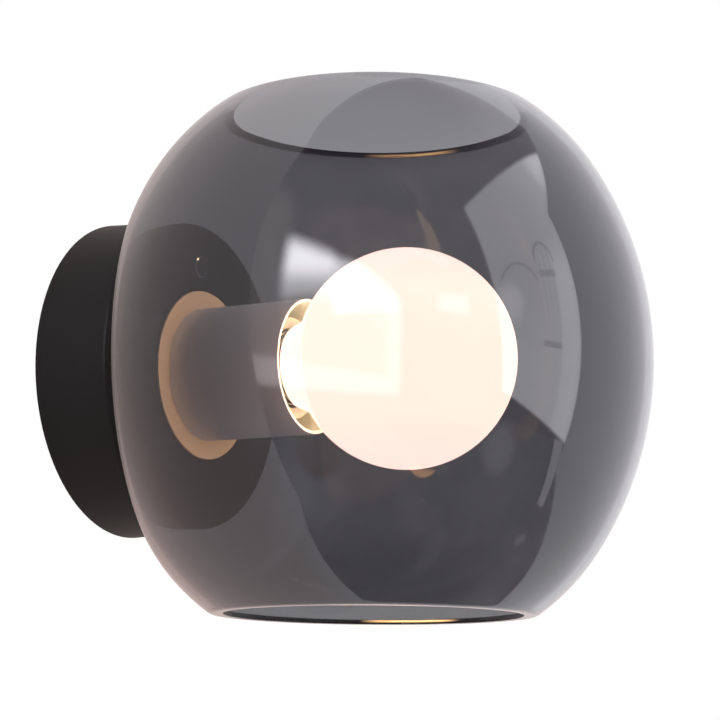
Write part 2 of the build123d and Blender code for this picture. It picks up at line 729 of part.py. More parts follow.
NODES = {
    "wall_plate": wall_plate,
    "plate_stud": plate_stud,
    "cable_grommet": cable_grommet,
    "terminal_block": terminal_block,
    "terminal_inserts": terminal_inserts,
    "terminal_screws": terminal_screws,
    "block_screw": block_screw,
    "plate_earth_tab": plate_earth_tab,
    "earth_screw": earth_screw,
    "canopy": canopy,
    "canopy_screw": canopy_screw,
    "threaded_nipple": threaded_nipple,
    "lock_washer": lock_washer,
    "nipple_earth_tab": nipple_earth_tab,
    "nipple_nut": nipple_nut,
    "neck_collar": neck_collar,
    "rear_gasket": rear_gasket,
    "globe_shade": globe_shade,
    "front_gasket": front_gasket,
    "shade_ring": shade_ring,
    "arm_tube": arm_tube,
    "holder_back": holder_back,
    "holder_front": holder_front,
    "holder_posts": holder_posts,
    "holder_shell": holder_shell,
    "centre_contact": centre_contact,
    "side_contact": side_contact,
    "live_lead": lambda: fixture_lead(1),
    "neutral_lead": lambda: fixture_lead(-1),
    "earth_wire": earth_wire,
    "bulb_glass": bulb_glass,
    "bulb_cap": bulb_cap,
    "bulb_insulator": bulb_insulator,
    "bulb_tip": bulb_tip,
    "bulb_stem": bulb_stem,
    "led_filaments": led_filaments,
    "filament_spiders": filament_spiders,
    "driver_board": driver_board,
}


def main():
    """Builds each piece and writes it to its own file."""
    os.makedirs("parts", exist_ok=True)
    for name, build in NODES.items():
        export_step(build(), f"parts/{name}.step")


if __name__ == "__main__":
    main()
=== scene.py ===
"""Looks of the globe wall sconce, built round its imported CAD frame.

Metres, +Z up. The wall is the plane Y = 0, the lamp stands out from it along -Y,
and the arm's axis is the line X = Z = 0.
"""

import logging
import math
from collections.abc import Callable
from dataclasses import dataclass
from enum import Enum

import bmesh
import bpy
import numpy as np
from mathutils import Matrix, Vector


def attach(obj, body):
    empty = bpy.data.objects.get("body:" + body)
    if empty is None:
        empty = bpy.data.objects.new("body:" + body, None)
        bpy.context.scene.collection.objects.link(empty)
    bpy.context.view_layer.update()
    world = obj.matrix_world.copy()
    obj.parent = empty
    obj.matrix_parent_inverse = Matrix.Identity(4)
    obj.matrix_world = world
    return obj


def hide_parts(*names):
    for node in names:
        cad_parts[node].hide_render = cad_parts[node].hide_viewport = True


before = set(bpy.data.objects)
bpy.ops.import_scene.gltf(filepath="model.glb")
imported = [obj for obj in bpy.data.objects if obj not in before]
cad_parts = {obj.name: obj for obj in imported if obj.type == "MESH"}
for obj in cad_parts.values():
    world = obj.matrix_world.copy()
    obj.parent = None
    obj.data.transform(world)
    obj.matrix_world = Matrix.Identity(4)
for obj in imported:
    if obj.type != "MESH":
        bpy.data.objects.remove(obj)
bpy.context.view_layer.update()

LOG = logging.getLogger("globe_wall_sconce")
MM = 0.001

Colour = tuple[float, float, float]
Span = tuple[float, float]
Direction = tuple[float, float]

WHITE: Colour = (1.0, 1.0, 1.0)
BLACK: Colour = (0.0, 0.0, 0.0)


# ---- Shader building ----


class Signal:
    """An output socket of a shader node; arithmetic on it adds Math nodes."""

    def __init__(self, paint: "Paint", socket: bpy.types.NodeSocket) -> None:
        """Wraps one output socket of the paint's node tree."""
        self.paint = paint
        self.socket = socket

    def _math(self, operation: str, first: "Value", second: "Value" = 0.0) -> "Signal":
        """Adds a Math node on two values."""
        return self.paint.node("Math", {"operation": operation}, {0: first, 1: second})

    def __add__(self, other: "Value") -> "Signal":
        """This signal plus another value."""
        return self._math("ADD", self, other)

    def __radd__(self, other: "Value") -> "Signal":
        """A number plus this signal."""
        return self._math("ADD", other, self)

    def __sub__(self, other: "Value") -> "Signal":
        """This signal minus another value."""
        return self._math("SUBTRACT", self, other)

    def __rsub__(self, other: "Value") -> "Signal":
        """A number minus this signal."""
        return self._math("SUBTRACT", other, self)

    def __mul__(self, other: "Value") -> "Signal":
        """This signal times another value."""
        return self._math("MULTIPLY", self, other)

    def __rmul__(self, other: "Value") -> "Signal":
        """A number times this signal."""
        return self._math("MULTIPLY", other, self)

    def __truediv__(self, other: "Value") -> "Signal":
        """This signal divided by another value."""
        return self._math("DIVIDE", self, other)

    def __rtruediv__(self, other: "Value") -> "Signal":
        """A number divided by this signal."""
        return self._math("DIVIDE", other, self)

    def __pow__(self, other: "Value") -> "Signal":
        """This signal to a power."""
        return self._math("POWER", self, other)

    def __gt__(self, other: "Value") -> "Signal":
        """1 where this signal is above the other value, and 0 elsewhere."""
        return self._math("GREATER_THAN", self, other)

    def sine(self) -> "Signal":
        """The sine of this signal."""
        return self._math("SINE", self)

    def size(self) -> "Signal":
        """This signal without its sign."""
        return self._math("ABSOLUTE", self)

    def either(self, other: "Value") -> "Signal":
        """The larger of this signal and another value."""
        return self._math("MAXIMUM", self, other)

    def both(self, other: "Value") -> "Signal":
        """The smaller of this signal and another value."""
        return self._math("MINIMUM", self, other)

    def hypotenuse(self, other: "Signal") -> "Signal":
        """The length of the vector that has this signal and another as its two parts."""
        return (self * self + other * other) ** 0.5

    def rise(self, low: float, high: float) -> "Signal":
        """A smooth rise from 0 at low to 1 at high; low may be the larger."""
        sockets = {"Value": self, "From Min": low, "From Max": high}
        return self.paint.node("MapRange", {"interpolation_type": "SMOOTHSTEP"}, sockets)


Value = Signal | float
Tone = Signal | Colour


def opaque(tone: Tone) -> Signal | tuple[float, float, float, float]:
    """A colour with an alpha of 1; a signal stays as it is."""
    return tone if isinstance(tone, Signal) else (*tone, 1.0)


class Paint:
    """The node tree of one material or world while it is put together."""

    def __init__(self, tree: bpy.types.NodeTree) -> None:
        """Empties the tree.

        Args:
            tree: The node tree.
        """
        self.tree = tree
        self.tree.nodes.clear()
        self._position: Signal | None = None

    def node(
        self,
        kind: str,
        settings: dict | None = None,
        sockets: dict | None = None,
        output: int | str = 0,
    ) -> Signal | None:
        """Adds any node.

        Args:
            kind: The node's type without its ShaderNode prefix.
            settings: Its properties, set first; "stops" fills a colour ramp.
            sockets: Values or signals for its inputs, by name or index.
            output: The output to return, by name or index.

        Returns:
            That output as a signal, or None for a node with no outputs.
        """
        made = self.tree.nodes.new("ShaderNode" + kind)
        for name, value in (settings or {}).items():
            if name == "stops":
                self._fill_ramp(made.color_ramp, value)
            else:
                setattr(made, name, value)
        for key, value in (sockets or {}).items():
            if isinstance(value, Signal):
                self.tree.links.new(value.socket, made.inputs[key])
            else:
                made.inputs[key].default_value = value
        return Signal(self, made.outputs[output]) if len(made.outputs) else None

    @staticmethod
    def _fill_ramp(ramp: bpy.types.ColorRamp, stops: tuple[tuple[float, Colour], ...]) -> None:
        """Puts the stops in a colour ramp that has two.

        Args:
            ramp: The new ramp.
            stops: The stops as (position, colour).
        """
        ready = len(ramp.elements)
        for index, (place, colour) in enumerate(stops):
            element = ramp.elements[index] if index < ready else ramp.elements.new(place)
            element.position = place
            element.color = opaque(colour)

    def position(self) -> Signal:
        """The point on the object, in metres.

        Returns:
            The point, from one node that the whole tree shares.
        """
        if self._position is None:
            self._position = self.node("TexCoord", output="Object")
        return self._position

    def along(self, axis: str) -> Signal:
        """One coordinate of the point, by its letter."""
        return self.node("SeparateXYZ", None, {0: self.position()}, axis)

    def arm_radius(self) -> Signal:
        """The point's distance from the arm's axis."""
        return self.along("X").hypotenuse(self.along("Z"))

    def vector(self, x: Value, y: Value, z: Value) -> Signal:
        """A vector from three values."""
        return self.node("CombineXYZ", None, {0: x, 1: y, 2: z})

    def noise(
        self, scale: float, detail: float = 2.0, roughness: float = 0.5, at: Signal | None = None
    ) -> Signal:
        """Soft noise from 0 to 1.

        Args:
            scale: Features per metre.
            detail: Octaves of finer noise.
            roughness: Share that each finer octave adds.
            at: Where to read it, which is the point on the object if left out.

        Returns:
            The noise.
        """
        sockets = {"Vector": at or self.position(), "Scale": scale, "Detail": detail, "Roughness": roughness}
        return self.node("TexNoise", None, sockets)

    def mix(self, factor: Value, first: Tone, second: Tone) -> Signal:
        """The first colour where factor is 0 and the second where it is 1."""
        return self.node("Mix", {"data_type": "RGBA"}, {0: factor, 6: opaque(first), 7: opaque(second)}, 2)

    def bump(self, height: Signal, depth: float) -> Signal:
        """A normal from a height of 0 to 1 that stands for depth metres."""
        return self.node("Bump", None, {"Height": height, "Distance": depth})

    def surface(self, **sockets: Value | Colour) -> Signal:
        """A Principled shader.

        Args:
            **sockets: Values for its inputs; underscores in the names stand for spaces.

        Returns:
            The shader's output.
        """
        named = {}
        for name, value in sockets.items():
            named[name.replace("_", " ")] = opaque(value) if isinstance(value, tuple) else value
        return self.node("BsdfPrincipled", None, named)

    def emission(self, tone: Tone) -> Signal:
        """A shader that gives off a colour as it is."""
        return self.node("Emission", None, {"Color": opaque(tone), "Strength": 1.0})

    def finish(self, shader: Signal, kind: str = "OutputMaterial") -> None:
        """Joins the shader to the tree's output."""
        self.node(kind, None, {"Surface": shader})


def painted(name: str, shader: Callable[[Paint], Signal]) -> bpy.types.Material:
    """Makes a material.

    Args:
        name: Its name.
        shader: Adds its shader to a node tree and returns the shader's output.

    Returns:
        The new material.
    """
    material = bpy.data.materials.new(name)
    material.use_nodes = True
    paint = Paint(material.node_tree)
    paint.finish(shader(paint))
    return material


# ---- Finishes ----


@dataclass(frozen=True)
class SlotFinish:
    """What dresses one material slot.

    Attributes:
        slot: The material slot of the record that it dresses.
    """

    slot: str

    def material(self) -> bpy.types.Material:
        """Makes the finish's material, named after the slot."""
        return painted(self.slot + "_finish", self.shader)

    def shader(self, paint: Paint) -> Signal:
        """The finish's shader, which each kind of finish makes in its own way.

        Args:
            paint: The node tree to add it to.

        Returns:
            The shader's output.
        """
        raise NotImplementedError


class Relief(Enum):
    """The kinds of fine relief a finish can have."""

    SPRAYED = "sprayed"
    TURNED = "turned"
    MOULDED = "moulded"
    ROLLED = "rolled"
    DRAWN = "drawn"


@dataclass(frozen=True)
class Finish(SlotFinish):
    """A finish with a colour that drifts a little, gloss, and fine relief.

    Attributes:
        colour: The main colour, linear.
        drift: The colour that it drifts to in patches.
        patch: Patches per metre.
        patch_edge: Between which values of the patches' noise the colour drifts.
        metallic: 1 for bare metal.
        roughness: Middle roughness.
        roughness_spread: How far the roughness drifts either way.
        relief: The kind of fine relief.
        grain: Relief features per metre.
        depth: The relief's depth, m.
        coat: Clear coat, from 0 to 1.
        coat_roughness: The coat's roughness.
        specular: Strength of the reflection of a surface that is not metal.
        turned_fineness: How much finer than its length a turned groove is across.
        turned_length: How fast a turned groove changes round the axis.
        drawn_fineness: How much finer than its length a drawn line is across.
        drawn_length: How fast a drawn line changes along the arm.
    """

    colour: Colour
    drift: Colour
    patch: float = 40.0
    metallic: float = 0.0
    roughness: float = 0.4
    roughness_spread: float = 0.05
    relief: Relief = Relief.MOULDED
    grain: float = 2500.0
    depth: float = 0.01 * MM
    coat: float = 0.0
    specular: float = 0.5
    coat_roughness: float = 0.08
    patch_edge: Span = (0.3, 0.7)
    turned_fineness: float = 14.0
    turned_length: float = 0.4
    drawn_fineness: float = 12.0
    drawn_length: float = 0.5

    def shader(self, paint: Paint) -> Signal:
        """The finish's shader.

        Args:
            paint: The node tree to add it to.

        Returns:
            The shader's output.
        """
        patches = paint.noise(self.patch, detail=3.0)
        grain = self.grain_height(paint)
        return paint.surface(
            Base_Color=self.drifting(paint, patches),
            Metallic=self.metallic,
            Roughness=self.roughness + (patches + grain - 1.0) * self.roughness_spread,
            Specular_IOR_Level=self.specular,
            Coat_Weight=self.coat,
            Coat_Roughness=self.coat_roughness,
            Normal=paint.bump(grain, self.depth),
        )

    def drifting(self, paint: Paint, patches: Signal) -> Signal:
        """The colour, with its drift where the patches are high."""
        return paint.mix(patches.rise(*self.patch_edge), self.colour, self.drift)

    def grain_height(self, paint: Paint) -> Signal:
        """The height of the fine relief, from 0 to 1.

        Args:
            paint: The node tree to add it to.

        Returns:
            The height.
        """
        if self.relief is Relief.TURNED:
            fine = self.turned_fineness
            place = paint.vector(
                paint.arm_radius() * fine, paint.along("Y") * fine, paint.along("X") * self.turned_length
            )
            return paint.noise(self.grain / fine, detail=4.0, roughness=0.7, at=place)
        if self.relief is Relief.DRAWN:
            fine = self.drawn_fineness
            place = paint.vector(
                paint.along("X") * fine, paint.along("Y") * self.drawn_length, paint.along("Z") * fine
            )
            return paint.noise(self.grain / fine, detail=3.0, roughness=0.6, at=place)
        if self.relief is Relief.ROLLED:
            sockets = {"Scale": self.grain, "Vector": paint.position()}
            return 1.0 - paint.node("TexVoronoi", {"feature": "F1"}, sockets).both(1.0)
        return paint.noise(self.grain, detail=1.0 if self.relief is Relief.SPRAYED else 4.0)


@dataclass(frozen=True)
class TubeMetal(Finish):
    """The arm tube's satin nickel, polished inside, where its pale yellow colour is partly painted warm light
    of the bulb.

    Attributes:
        inside_colour: The colour inside, a pale yellow that is partly painted warm light of the bulb.
        inside_roughness: The roughness inside.
        inside_metallic: How much of a metal the inside is.
        bore: Distance from the axis where the inside ends, m.
    """

    inside_colour: Colour = (0.96, 1.0, 0.82)
    inside_roughness: float = 0.22
    inside_metallic: float = 0.28
    bore: float = 24.7 * MM

    def shader(self, paint: Paint) -> Signal:
        """The tube's shader, told apart inside and outside by the distance from the axis.

        Args:
            paint: The node tree to add it to.

        Returns:
            The shader's output.
        """
        outside = paint.arm_radius() > self.bore
        grain = self.grain_height(paint)
        outer = self.drifting(paint, paint.noise(self.patch, detail=3.0))
        step = self.roughness - self.inside_roughness
        return paint.surface(
            Base_Color=paint.mix(outside, self.inside_colour, outer),
            Metallic=self.inside_metallic + outside * (self.metallic - self.inside_metallic),
            Roughness=self.inside_roughness + outside * step + (grain - 0.5) * self.roughness_spread,
            Normal=paint.bump(grain, self.depth),
        )


@dataclass(frozen=True)
class ScrewCoatWithPaintedGlint(Finish):
    """The black cap screw's coat, with a painted highlight on its rounded edge and a painted glint of the
    bulb, both given off as emission.

    Attributes:
        height: Height of the screw's axis above the arm's, m.
        edge: Distances from its axis between which the rounding begins, m.
        painted_edge_light: Colour of the painted highlight that the whole rounding gives off as emission.
        painted_glint: Where the painted glint of the bulb sits, across and up from the screw's axis, m.
        painted_glint_size: Distances from there between which the painted glint fades, m.
        painted_glint_light: Colour of the painted glint, given off as emission.
    """

    height: float = 42.0 * MM
    edge: Span = (3.5 * MM, 3.8 * MM)
    painted_edge_light: Colour = (0.72, 0.80, 1.02)
    painted_glint: tuple[float, float] = (-2.75 * MM, 2.75 * MM)
    painted_glint_size: Span = (0.35 * MM, 0.90 * MM)
    painted_glint_light: Colour = (24.0, 17.0, 8.5)

    def shader(self, paint: Paint) -> Signal:
        """The screw's shader, its painted highlight and painted glint placed by the distance from its axis
        and from the glint's spot.

        Args:
            paint: The node tree to add it to.

        Returns:
            The shader's output.
        """
        across, up = paint.along("X"), paint.along("Z") - self.height
        # Painted highlight on the rounded edge and painted glint of the bulb, both given off as emission.
        glint_across, glint_up = self.painted_glint
        painted_glint = 1.0 - (across - glint_across).hypotenuse(up - glint_up).rise(*self.painted_glint_size)
        lit = paint.mix(across.hypotenuse(up).rise(*self.edge), BLACK, self.painted_edge_light)
        grain = self.grain_height(paint)
        return paint.surface(
            Base_Color=self.drifting(paint, paint.noise(self.patch, detail=3.0)),
            Metallic=self.metallic,
            Roughness=self.roughness + (grain - 0.5) * self.roughness_spread,
            Emission_Color=paint.mix(painted_glint, lit, self.painted_glint_light),
            Emission_Strength=1.0,
            Normal=paint.bump(grain, self.depth),
        )


@dataclass(frozen=True)
class PaintedRimGlints:
    """Painted glint highlights of the bulb's light, given off as emission by the far inner lips of the
    globe's rims.

    Attributes:
        colour: Their colour.
        centre_out: Distance of the globe's axis from the wall, m.
        lip_begin: Heights above and below the middle between which a lip begins, m.
        lip_end: The same for its end, m.
        lip_radius: Distances from the globe's axis between which a lip ends, m.
        toward: The direction of the painted highlights' middle, as (x, y).
        spread: Cosines of the angle from there between which they begin.
        streaks: Streaks per metre.
        streak_length: How fast a streak changes round the rim.
        streak_fineness: How fast it changes with the height.
        streak_edge: Between which values of their noise the streaks begin.
    """

    colour: Colour = (2.3, 1.30, 0.55)
    centre_out: float = 107.7 * MM
    lip_begin: Span = (90.2 * MM, 90.6 * MM)
    lip_end: Span = (90.9 * MM, 91.4 * MM)
    lip_radius: Span = (56.2 * MM, 56.8 * MM)
    toward: tuple[float, float] = (0.974, 0.225)
    spread: Span = (0.93, 0.995)
    streaks: float = 260.0
    streak_length: float = 0.25
    streak_fineness: float = 8.0
    streak_edge: Span = (0.20, 0.60)

    def light(self, paint: Paint) -> Signal:
        """The painted highlight that each point of the globe gives off as emission.

        Args:
            paint: The node tree to add it to.

        Returns:
            The light's colour.
        """
        x, y, z = paint.along("X"), paint.along("Y") + self.centre_out, paint.along("Z")
        toward_x, toward_y = self.toward
        radius = x.hypotenuse(y)
        lip = z.size().rise(*self.lip_begin) * (1.0 - z.size().rise(*self.lip_end))
        inner = 1.0 - radius.rise(*self.lip_radius)
        far = ((x * toward_x + y * toward_y) / radius).rise(*self.spread)
        place = paint.vector(x * self.streak_length, y * self.streak_length, z * self.streak_fineness)
        streaks = paint.noise(self.streaks, roughness=0.6, at=place).rise(*self.streak_edge)
        return paint.mix(lip * inner * far * streaks, BLACK, self.colour)


@dataclass(frozen=True)
class SmokedGlass(SlotFinish):
    """Smoked grey glass, clear right through, with the faint waviness of blown glass.

    Attributes:
        colour: Share of each colour's light that one wall takes up and passes on.
        thicker: How much of that is left where the glass is a little thicker.
        ior: Index of refraction.
        wave: Waves per metre.
        wave_edge: Between which values of the waves' noise the glass gets thicker.
        depth: The waves' depth, m.
        rim: Heights above and below the middle between which the fire-polished rims begin, m.
        rim_roughness: Their roughness.
        painted_rim_glints: The painted glint highlights on them, given off as emission.
    """

    slot: str = "smoked_glass"
    colour: Colour = (0.245, 0.2435, 0.257)
    thicker: float = 0.98
    ior: float = 1.5
    wave: float = 14.0
    wave_edge: Span = (0.35, 0.65)
    depth: float = 0.18 * MM
    rim: Span = (90.5 * MM, 91.4 * MM)
    rim_roughness: float = 0.10
    painted_rim_glints: PaintedRimGlints = PaintedRimGlints()

    def shader(self, paint: Paint) -> Signal:
        """The glass's shader.

        Args:
            paint: The node tree to add it to.

        Returns:
            The shader's output.
        """
        waves = paint.noise(self.wave, detail=1.0)
        deeper = tuple(channel * self.thicker for channel in self.colour)
        return paint.surface(
            Base_Color=paint.mix(waves.rise(*self.wave_edge), self.colour, deeper),
            Roughness=paint.along("Z").size().rise(*self.rim) * self.rim_roughness,
            IOR=self.ior,
            Transmission_Weight=1.0,
            # Emission paints glint highlights on the far inner lips of the rims.
            Emission_Color=self.painted_rim_glints.light(paint),
            Emission_Strength=1.0,
            Normal=paint.bump(waves, self.depth),
        )


@dataclass(frozen=True)
class LitOpal(SlotFinish):
    """The lit opal glass of the bulb: a warm glow under a glossy surface, painted dimmer above and below as
    shade.

    Attributes:
        colour: The glass's own colour.
        drift: The colour that it drifts to.
        coating: Patches of the coating per metre.
        roughness: The least roughness.
        roughness_spread: What the coating adds to it.
        glow: Colour of the light.
        shaded_edge_glow: Colour of the dimmer glow painted above and below, as shade where the ball turns
            away.
        edge: Heights above and below the axis between which that painted shade begins, m.
        strength: The light's strength.
    """

    slot: str = "opal_glass"
    colour: Colour = (0.40, 0.39, 0.38)
    drift: Colour = (0.46, 0.45, 0.44)
    coating: float = 60.0
    roughness: float = 0.05
    roughness_spread: float = 0.03
    glow: Colour = (1.0, 0.645, 0.520)
    shaded_edge_glow: Colour = (0.84, 0.570, 0.480)
    edge: Span = (18.0 * MM, 41.0 * MM)
    strength: float = 6.1

    def shader(self, paint: Paint) -> Signal:
        """The lit glass's shader.

        Args:
            paint: The node tree to add it to.

        Returns:
            The shader's output.
        """
        coating = paint.noise(self.coating)
        return paint.surface(
            Base_Color=paint.mix(coating, self.colour, self.drift),
            Roughness=self.roughness + coating * self.roughness_spread,
            # Painted shade: the glow is dimmer towards the top and bottom of the ball.
            Emission_Color=paint.mix(paint.along("Z").size().rise(*self.edge), self.glow, self.shaded_edge_glow),
            Emission_Strength=self.strength,
        )


@dataclass(frozen=True)
class ClearGlass(SlotFinish):
    """Clear glass of the stem inside the bulb.

    Attributes:
        colour: Share of each colour's light that passes.
        drift: The same where the glass is a little greener.
        drawn: Patches per metre.
        roughness: The most roughness.
        ior: Index of refraction.
    """

    slot: str = "clear_glass"
    colour: Colour = (0.97, 0.98, 0.97)
    drift: Colour = (0.93, 0.96, 0.94)
    drawn: float = 300.0
    roughness: float = 0.04
    ior: float = 1.5

    def shader(self, paint: Paint) -> Signal:
        """The clear glass's shader.

        Args:
            paint: The node tree to add it to.

        Returns:
            The shader's output.
        """
        drawn = paint.noise(self.drawn, detail=1.0)
        return paint.surface(
            Base_Color=paint.mix(drawn, self.colour, self.drift),
            Roughness=drawn * self.roughness,
            IOR=self.ior,
            Transmission_Weight=1.0,
        )


@dataclass(frozen=True)
class EarthSleeve(SlotFinish):
    """The earth lead's sleeve, striped green and yellow along its run.

    Attributes:
        green: The green stripes' colour.
        yellow: The yellow stripes' colour.
        slant: Turns of the stripes along X, Y and Z, radians per metre.
        stripe_edge: Sines between which one colour becomes the other.
        roughness: The least roughness.
        roughness_spread: What the grain adds to it.
        grain: Relief features per metre.
        depth: The relief's depth, m.
    """

    slot: str = "earth_lead"
    green: Colour = (0.02, 0.22, 0.05)
    yellow: Colour = (0.75, 0.55, 0.03)
    slant: tuple[float, float, float] = (1700.0, 300.0, -1900.0)
    stripe_edge: Span = (-0.08, 0.08)
    roughness: float = 0.42
    roughness_spread: float = 0.1
    grain: float = 2500.0
    depth: float = 0.01 * MM

    def shader(self, paint: Paint) -> Signal:
        """The striped sleeve's shader.

        Args:
            paint: The node tree to add it to.

        Returns:
            The shader's output.
        """
        x, y, z = (paint.along(axis) * slant for axis, slant in zip("XYZ", self.slant))
        stripe = (x + y + z).sine().rise(*self.stripe_edge)
        grain = paint.noise(self.grain)
        return paint.surface(
            Base_Color=paint.mix(stripe, self.green, self.yellow),
            Roughness=self.roughness + grain * self.roughness_spread,
            Normal=paint.bump(grain, self.depth),
        )


FINISHES: tuple[SlotFinish, ...] = (
    Finish(
        "zinc_steel", colour=(0.58, 0.60, 0.62), drift=(0.50, 0.52, 0.55), patch=160.0,
        metallic=1.0, roughness=0.34, roughness_spread=0.10, relief=Relief.ROLLED, grain=260.0,
        depth=0.006 * MM,
    ),
    Finish(
        "black_rubber", colour=(0.018, 0.018, 0.018), drift=(0.028, 0.027, 0.026), patch=90.0,
        roughness=0.62, roughness_spread=0.08,
    ),
    Finish(
        "block_plastic", colour=(0.70, 0.69, 0.64), drift=(0.66, 0.65, 0.60), patch=70.0,
        roughness=0.45, roughness_spread=0.06,
    ),
    Finish(
        "brass", colour=(0.80, 0.58, 0.25), drift=(0.72, 0.50, 0.21), patch=150.0, metallic=1.0,
        roughness=0.28, roughness_spread=0.08, relief=Relief.DRAWN, grain=3000.0, depth=0.008 * MM,
    ),
    Finish(
        "black_coat", colour=(0.0088, 0.0086, 0.0088), drift=(0.0104, 0.0102, 0.0102), patch=30.0,
        roughness=0.48, relief=Relief.SPRAYED, grain=1100.0, depth=0.012 * MM, specular=0.16,
    ),
    # The screw's coat carries a painted highlight and a painted glint as emission.
    ScrewCoatWithPaintedGlint(
        "black_screw", colour=(0.20, 0.195, 0.20), drift=(0.24, 0.23, 0.235), patch=300.0,
        metallic=0.9, roughness=0.24, roughness_spread=0.08, relief=Relief.SPRAYED,
        depth=0.008 * MM,
    ),
    Finish(
        "silicone", colour=(0.55, 0.55, 0.54), drift=(0.48, 0.48, 0.47), patch=80.0, roughness=0.50,
    ),
    # The ring's tan base colour is partly its own and partly painted warm light of the bulb.
    Finish(
        "ring_metal", colour=(0.98, 0.77, 0.51), drift=(0.93, 0.72, 0.47), patch=60.0,
        metallic=0.12, roughness=0.50, roughness_spread=0.10, relief=Relief.TURNED, grain=2600.0,
    ),
    Finish(
        "holder_plastic", colour=(0.70, 0.67, 0.52), drift=(0.64, 0.61, 0.47), patch=60.0,
        roughness=0.35, roughness_spread=0.06,
    ),
    Finish(
        "shell_metal", colour=(0.70, 0.69, 0.66), drift=(0.62, 0.61, 0.58), patch=120.0,
        metallic=1.0, roughness=0.25, roughness_spread=0.08, relief=Relief.TURNED, grain=2000.0,
        depth=0.008 * MM,
    ),
    Finish(
        "brown_lead", colour=(0.12, 0.050, 0.022), drift=(0.095, 0.040, 0.018), patch=200.0,
        roughness=0.42,
    ),
    Finish(
        "blue_lead", colour=(0.020, 0.10, 0.40), drift=(0.016, 0.08, 0.33), patch=200.0,
        roughness=0.42,
    ),
    Finish(
        "cap_metal", colour=(0.74, 0.73, 0.71), drift=(0.66, 0.65, 0.63), patch=150.0, metallic=1.0,
        roughness=0.22, roughness_spread=0.08, relief=Relief.TURNED, depth=0.006 * MM,
    ),
    Finish(
        "insulator", colour=(0.012, 0.012, 0.020), drift=(0.020, 0.019, 0.028), patch=200.0,
        roughness=0.12, roughness_spread=0.04, coat=0.5,
    ),
    Finish(
        "phosphor", colour=(0.85, 0.60, 0.16), drift=(0.80, 0.52, 0.12), patch=400.0,
        roughness=0.55, roughness_spread=0.08,
    ),
    Finish(
        "board_plastic", colour=(0.72, 0.71, 0.66), drift=(0.55, 0.56, 0.50), patch=500.0,
        roughness=0.50, roughness_spread=0.08,
    ),
    TubeMetal(
        "tube_metal", colour=(0.93, 0.94, 1.00), drift=(0.88, 0.89, 0.95), patch=25.0,
        metallic=0.32, roughness=0.55, roughness_spread=0.08, grain=3200.0,
    ),
    SmokedGlass(),
    LitOpal(),
    ClearGlass(),
    EarthSleeve(),
)


# ---- Meshes ----


class Outline:
    """A cross-section drawn with straight runs and arcs, then turned about an axis.

    The section lies in the XZ plane: X is the distance from the axis and Z the height along it.
    """

    def __init__(self, radius: float, height: float) -> None:
        """Starts the section at a point, in mm."""
        self.mesh = bmesh.new()
        self.start = self.tip = self.mesh.verts.new((radius * MM, 0.0, height * MM))

    def line(self, radius: float, height: float, cuts: int = 0) -> "Outline":
        """Draws a straight run to a point.

        Args:
            radius: The point's distance from the axis, mm.
            height: Its height, mm.
            cuts: Evenly spaced points on the way.

        Returns:
            This outline.
        """
        begin, end = self.tip.co.copy(), Vector((radius * MM, 0.0, height * MM))
        for step in range(1, cuts + 2):
            point = self.mesh.verts.new(begin.lerp(end, step / (cuts + 1)))
            self.mesh.edges.new((self.tip, point))
            self.tip = point
        return self

    def arc(self, radius: float, height: float, degrees: float, steps: int) -> "Outline":
        """Draws an arc about a centre.

        Args:
            radius: The centre's distance from the axis, mm.
            height: The centre's height, mm.
            degrees: The angle turned, from X towards Z.
            steps: Straight pieces in the arc.

        Returns:
            This outline.
        """
        made = bmesh.ops.spin(
            self.mesh,
            geom=[self.tip],
            cent=(radius * MM, 0.0, height * MM),
            axis=(0.0, -1.0, 0.0),
            angle=math.radians(degrees),
            steps=steps,
            use_duplicate=False,
        )
        self.tip = next(item for item in made["geom_last"] if isinstance(item, bmesh.types.BMVert))
        return self

    def close(self) -> "Outline":
        """Joins the last point to the first."""
        self.mesh.edges.new((self.tip, self.start))
        return self

    def turn(self, steps: int) -> bmesh.types.BMesh:
        """Turns the section about Z.

        Args:
            steps: Faces round the axis.

        Returns:
            The closed mesh, its faces pointing outwards.
        """
        bmesh.ops.spin(
            self.mesh,
            geom=self.mesh.verts[:] + self.mesh.edges[:],
            cent=(0.0, 0.0, 0.0),
            axis=(0.0, 0.0, 1.0),
            angle=2.0 * math.pi,
            steps=steps,
            use_merge=True,
        )
        bmesh.ops.remove_doubles(self.mesh, verts=self.mesh.verts[:], dist=1e-7)
        bmesh.ops.recalc_face_normals(self.mesh, faces=self.mesh.faces[:])
        return self.mesh


def tip_over(mesh: bmesh.types.BMesh, degrees: float) -> None:
    """Turns a mesh about X by an angle, from Y towards Z."""
    turn = Matrix.Rotation(math.radians(degrees), 3, "X")
    bmesh.ops.rotate(mesh, verts=mesh.verts[:], cent=(0.0, 0.0, 0.0), matrix=turn)


def smooth(data: bpy.types.Mesh, sharp: float) -> None:
    """Shades a mesh smooth, but for the edges that turn by more than sharp degrees."""
    data.shade_smooth()
    data.set_sharp_from_angle(angle=math.radians(sharp))


def piece_from(mesh: bmesh.types.BMesh, name: str, sharp: float = 40.0) -> bpy.types.Object:
    """Makes a smooth-shaded object at the origin from a bmesh, which is freed.

    Args:
        mesh: The mesh, in place, in metres.
        name: The piece's name.
        sharp: Edges that turn by more than this many degrees stay sharp.

    Returns:
        The new object.
    """
    data = bpy.data.meshes.new(name)
    mesh.to_mesh(data)
    mesh.free()
    smooth(data, sharp)
    piece = bpy.data.objects.new(name, data)
    bpy.context.scene.collection.objects.link(piece)
    return piece


